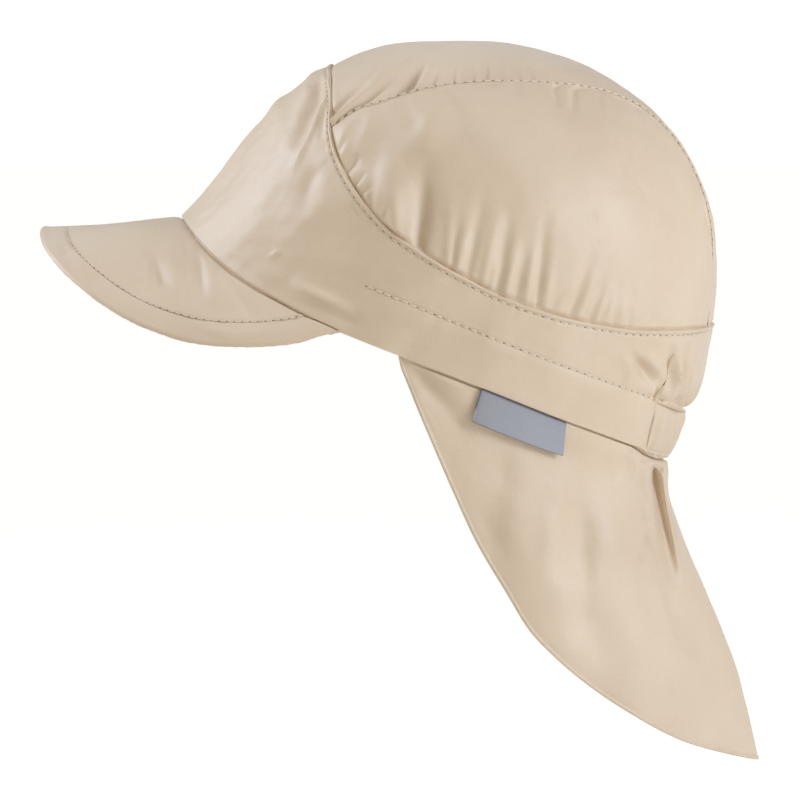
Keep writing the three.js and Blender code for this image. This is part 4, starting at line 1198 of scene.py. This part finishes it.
def spaced(points, normals, pitch, shift=0.0):
    # points at an even pitch along a line, with the line's direction and the cloth's normal
    run = np.concatenate([[0], np.cumsum(np.linalg.norm(np.diff(points, axis=0), axis=1))])
    count = int((run[-1] - shift) / pitch)
    at = shift + pitch * np.arange(count + 1)
    where = np.stack([np.interp(at, run, points[:, k]) for k in range(3)], -1)
    ahead = np.stack([np.interp(at + 0.4, run, points[:, k]) for k in range(3)], -1)
    before = np.stack([np.interp(at - 0.4, run, points[:, k]) for k in range(3)], -1)
    out = np.stack([np.interp(at, run, normals[:, k]) for k in range(3)], -1)
    along = ahead - before
    size = np.linalg.norm(along, axis=-1, keepdims=True)
    keep = size[:, 0] > 1e-6
    out = out[keep] / np.linalg.norm(out[keep], axis=-1, keepdims=True)
    return where[keep], (along / np.maximum(size, 1e-9))[keep], out


def stitchPiece(name, rows, look, material):
    # points with two direction attributes, turned into stitches by the node group and baked to a mesh
    where = np.concatenate([row[0] for row in rows])
    along = np.concatenate([row[1] for row in rows])
    out = np.concatenate([row[2] for row in rows])
    points = place(where + out * look["lift"])
    mesh = bpy.data.meshes.new(name)
    mesh.vertices.add(len(points))
    mesh.vertices.foreach_set("co", points.ravel())
    for key, vectors in (("along", along), ("out", out)):
        layer = mesh.attributes.new(key, "FLOAT_VECTOR", "POINT")
        layer.data.foreach_set("vector", (place(vectors) * 1000).ravel())
    obj = bpy.data.objects.new(name, mesh)
    bpy.context.scene.collection.objects.link(obj)
    modifier = obj.modifiers.new("stitches", "NODES")
    modifier.node_group = stitcher
    values = {key.capitalize(): look[key] / 1000 for key in ("length", "width", "height")}
    values.update({key.capitalize(): look[key] for key in ("jitter", "segments", "rings", "seed")})
    values["Material"] = material
    for item in stitcher.interface.items_tree:
        if item.in_out == "INPUT" and item.name in values:
            modifier[item.identifier] = values[item.name]
    deps = bpy.context.evaluated_depsgraph_get()
    baked = bpy.data.meshes.new_from_object(obj.evaluated_get(deps))
    obj.modifiers.clear()
    obj.data = baked
    baked.name = name
    for polygon in baked.polygons:
        polygon.use_smooth = True
    if not baked.materials:
        baked.materials.append(material)
    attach(obj, "root")
    print(name, len(points), "places")


# sizes in millimetres; share is how much of the pitch a stitch takes up
threadLook = {
    "share": 0.74, "width": 0.62, "height": 0.55, "lift": 0.1, "jitter": 0.1, "segments": 8, "rings": 6, "seed": 5,
}
stripThread = {"width": 0.85, "height": 0.6}
hemThread = {"width": 0.32, "height": 0.25, "lift": 0.0}
# dark dots of painted shade, set between the stitches
paintedShadeDotLook = {
    "length": 0.75, "width": 0.5, "height": 0.3, "lift": 0.03, "jitter": 0.3, "segments": 6, "rings": 4, "seed": 6,
}


def wallLine(turns, edgeDown=None):
    # a row of stitches at a distance down from the upper seam, or else along the lower band
    around = np.abs(turns)
    front = np.maximum(0, peakRoot(turns) - wallLook["behindPeak"])
    foot = np.where(around > wallLook["casingTurn"], wallLook["casingFoot"], np.where(around > 70, 0, front))
    top = crown["height"] * wallSeam(around)
    if edgeDown is not None:
        z, edge = columnHeights(turns, foot, top, lambda total: total[:, None] - edgeDown)
    else:
        z = bandHeight(around)[:, None]
        edge = np.full(z.shape, 12.0)
    p, normal, lift = wallSurface(turns[:, None], z, edge)
    return (p + normal * lift[..., None])[:, 0], normal[:, 0]


def stripLine(side):
    along = np.linspace(0.004, 0.996, 900)
    p = stripSeam(along, side)
    middle = stripBase(np.full(len(along), 0.5), along)
    inward = middle - p
    inward /= np.linalg.norm(inward, axis=-1, keepdims=True)
    p = onCrown(p + inward * 0.9)
    normal = crownNormal(p)
    return p - normal * 0.1, normal


def peakLine():
    # where each column of the peak crosses the stitching's distance from the free edge
    cols = []
    for i in range(4, peakGrid.shape[0] - 4):
        edge = peakEdge[i][::-1]
        if edge[-1] < peakLook["stitchIn"]:
            continue
        last = len(edge) - 1
        row = last - np.interp(peakLook["stitchIn"], edge, np.arange(len(edge)))
        k = int(np.floor(row))
        w = row - k
        cols.append((peakGrid[i, k] * (1 - w) + peakGrid[i, min(k + 1, last)] * w, peakNormals[i, k]))
    return np.array([c[0] for c in cols]), np.array([c[1] for c in cols])


seamTurnsFine = np.linspace(-wallLook["seamReach"], wallLook["seamReach"], 1800)
bandTurns = np.linspace(wallLook["bandFrom"], wallLook["bandTo"], 700)
# paths, pitch in millimetres, slot and what differs from the usual thread
lines = {
    "wallSeam": ([wallLine(seamTurnsFine, wallLook["stitchDown"])], cloth["stitchPitch"], "cap_cloth", {}),
    "stripSeam": ([stripLine(1), stripLine(-1)], cloth["stitchPitch"], "cap_cloth", stripThread),
    "band": ([wallLine(bandTurns), wallLine(-bandTurns)], wallLook["bandPitch"], "cap_cloth", {}),
    "peak": ([peakLine()], peakLook["stitchPitch"], "peak_cloth", {}),
    "hem": ([(hemLine, hemNormals)], flapLook["stitchPitch"], "flap_cloth", hemThread),
}
for key, (paths, pitchMm, slot, differs) in lines.items():
    look = {**threadLook, "length": threadLook["share"] * pitchMm, **differs}
    rows = [spaced(points, normals, pitchMm, pitchMm / 2) for points, normals in paths]
    # dark dots of painted shade between the stitches, on every seam but the hem
    paintedShadeDots = [spaced(points, normals, pitchMm) for points, normals in paths]
    stitchPiece(key + "Stitches", rows, look, thread)
    if key != "hem":
        stitchPiece(key + "PaintedShadeDots", paintedShadeDots, paintedShadeDotLook, paintedStitchShade)
print("stitches made")


# floor, light and camera
stageLook = {
    "floorDown": 0.42, "floorSize": 150.0, "floorColour": (0.92, 0.89, 0.84), "floorGlow": 0.75,
    "nearGlow": 1.1, "farGlow": 2.2,
    "horizon": 1.14, "sky": 0.3, "air": (1.0, 0.945, 0.89), "bandLow": 0.04, "bandHigh": 0.16,
}
# place, size, power and colour of each soft lamp
lampLooks = {
    "keyLight": ((0.72, 1.15, 0.40), 0.55, 10.7, (0.82, 0.94, 1.16)),
    "frontLight": ((-0.27, -1.2, 0.85), 0.6, 14.0, (0.83, 0.95, 1.16)),
    "topLight": ((0.35, 0.25, 1.5), 0.9, 4.9, (0.88, 0.97, 1.11)),
}


def areaLight(name, spot, size, power, colour):
    data = bpy.data.lights.new(name, "AREA")
    data.energy = power
    data.size = size
    data.color = colour
    lamp = bpy.data.objects.new(name, data)
    bpy.context.scene.collection.objects.link(lamp)
    lamp.location = spot
    lamp.rotation_euler = (-Vector(spot)).to_track_quat("-Z", "Y").to_euler()


floorMesh = bpy.data.meshes.new("paleFloor")
corners = [
    (stageLook["floorSize"] * x, stageLook["floorSize"] * y, -stageLook["floorDown"])
    for x, y in ((-1, -1), (1, -1), (1, 1), (-1, 1))
]
floorMesh.from_pydata(corners, [], [(0, 1, 2, 3)])
floorPiece = bpy.data.objects.new("paleFloor", floorMesh)
bpy.context.scene.collection.objects.link(floorPiece)
floorMaterial = bpy.data.materials.new("paleFloor")
floorMaterial.use_nodes = True
floorShader = floorMaterial.node_tree.nodes["Principled BSDF"]
floorShader.inputs["Base Color"].default_value = (*stageLook["floorColour"], 1)
floorShader.inputs["Roughness"].default_value = 0.9
floorShader.inputs["Emission Color"].default_value = (1, 1, 1, 1)
floorTree = floorMaterial.node_tree
floorWhere = nodeOf(floorTree, "ShaderNodeTexCoord")
floorFar = nodeOf(floorTree, "ShaderNodeVectorMath", operation="LENGTH")
floorGlow = nodeOf(floorTree, "ShaderNodeMapRange", interpolation_type="SMOOTHSTEP")
floorGlow.inputs["From Min"].default_value = stageLook["nearGlow"]
floorGlow.inputs["From Max"].default_value = stageLook["farGlow"]
floorGlow.inputs["To Max"].default_value = stageLook["floorGlow"]
floorTree.links.new(floorWhere.outputs["Object"], floorFar.inputs[0])
floorTree.links.new(floorFar.outputs["Value"], floorGlow.inputs["Value"])
floorTree.links.new(floorGlow.outputs["Result"], floorShader.inputs["Emission Strength"])
floorMesh.materials.append(floorMaterial)

world = bpy.data.worlds.new("studio")
world.use_nodes = True
worldTree = world.node_tree
away = nodeOf(worldTree, "ShaderNodeTexCoord")
split = nodeOf(worldTree, "ShaderNodeSeparateXYZ")
fall = nodeOf(worldTree, "ShaderNodeMapRange", interpolation_type="SMOOTHSTEP")
fall.inputs["From Min"].default_value = stageLook["bandLow"]
fall.inputs["From Max"].default_value = stageLook["bandHigh"]
fall.inputs["To Min"].default_value = stageLook["horizon"]
fall.inputs["To Max"].default_value = stageLook["sky"]
worldTree.links.new(away.outputs["Generated"], split.inputs["Vector"])
worldTree.links.new(split.outputs["Z"], fall.inputs["Value"])
worldTree.links.new(fall.outputs["Result"], worldTree.nodes["Background"].inputs["Strength"])
worldTree.nodes["Background"].inputs["Color"].default_value = (*stageLook["air"], 1)
bpy.context.scene.world = world
bpy.context.scene.view_settings.view_transform = "Standard"
for name, (spot, size, power, colour) in lampLooks.items():
    areaLight(name, spot, size, power, colour)

camera = bpy.data.objects.new("photoCamera", bpy.data.cameras.new("photoCamera"))
bpy.context.scene.collection.objects.link(camera)
camera.data.sensor_width = view["sensor"]
camera.data.lens = view["sensor"] * view["distance"] * view["pixelsPerMm"] / view["frame"]
camera.location = Vector(eye / 1000)
aim = Vector(target / 1000) - camera.location
camera.rotation_euler = aim.to_track_quat("-Z", "Y").to_euler()
bpy.context.scene.camera = camera
print("stage made")
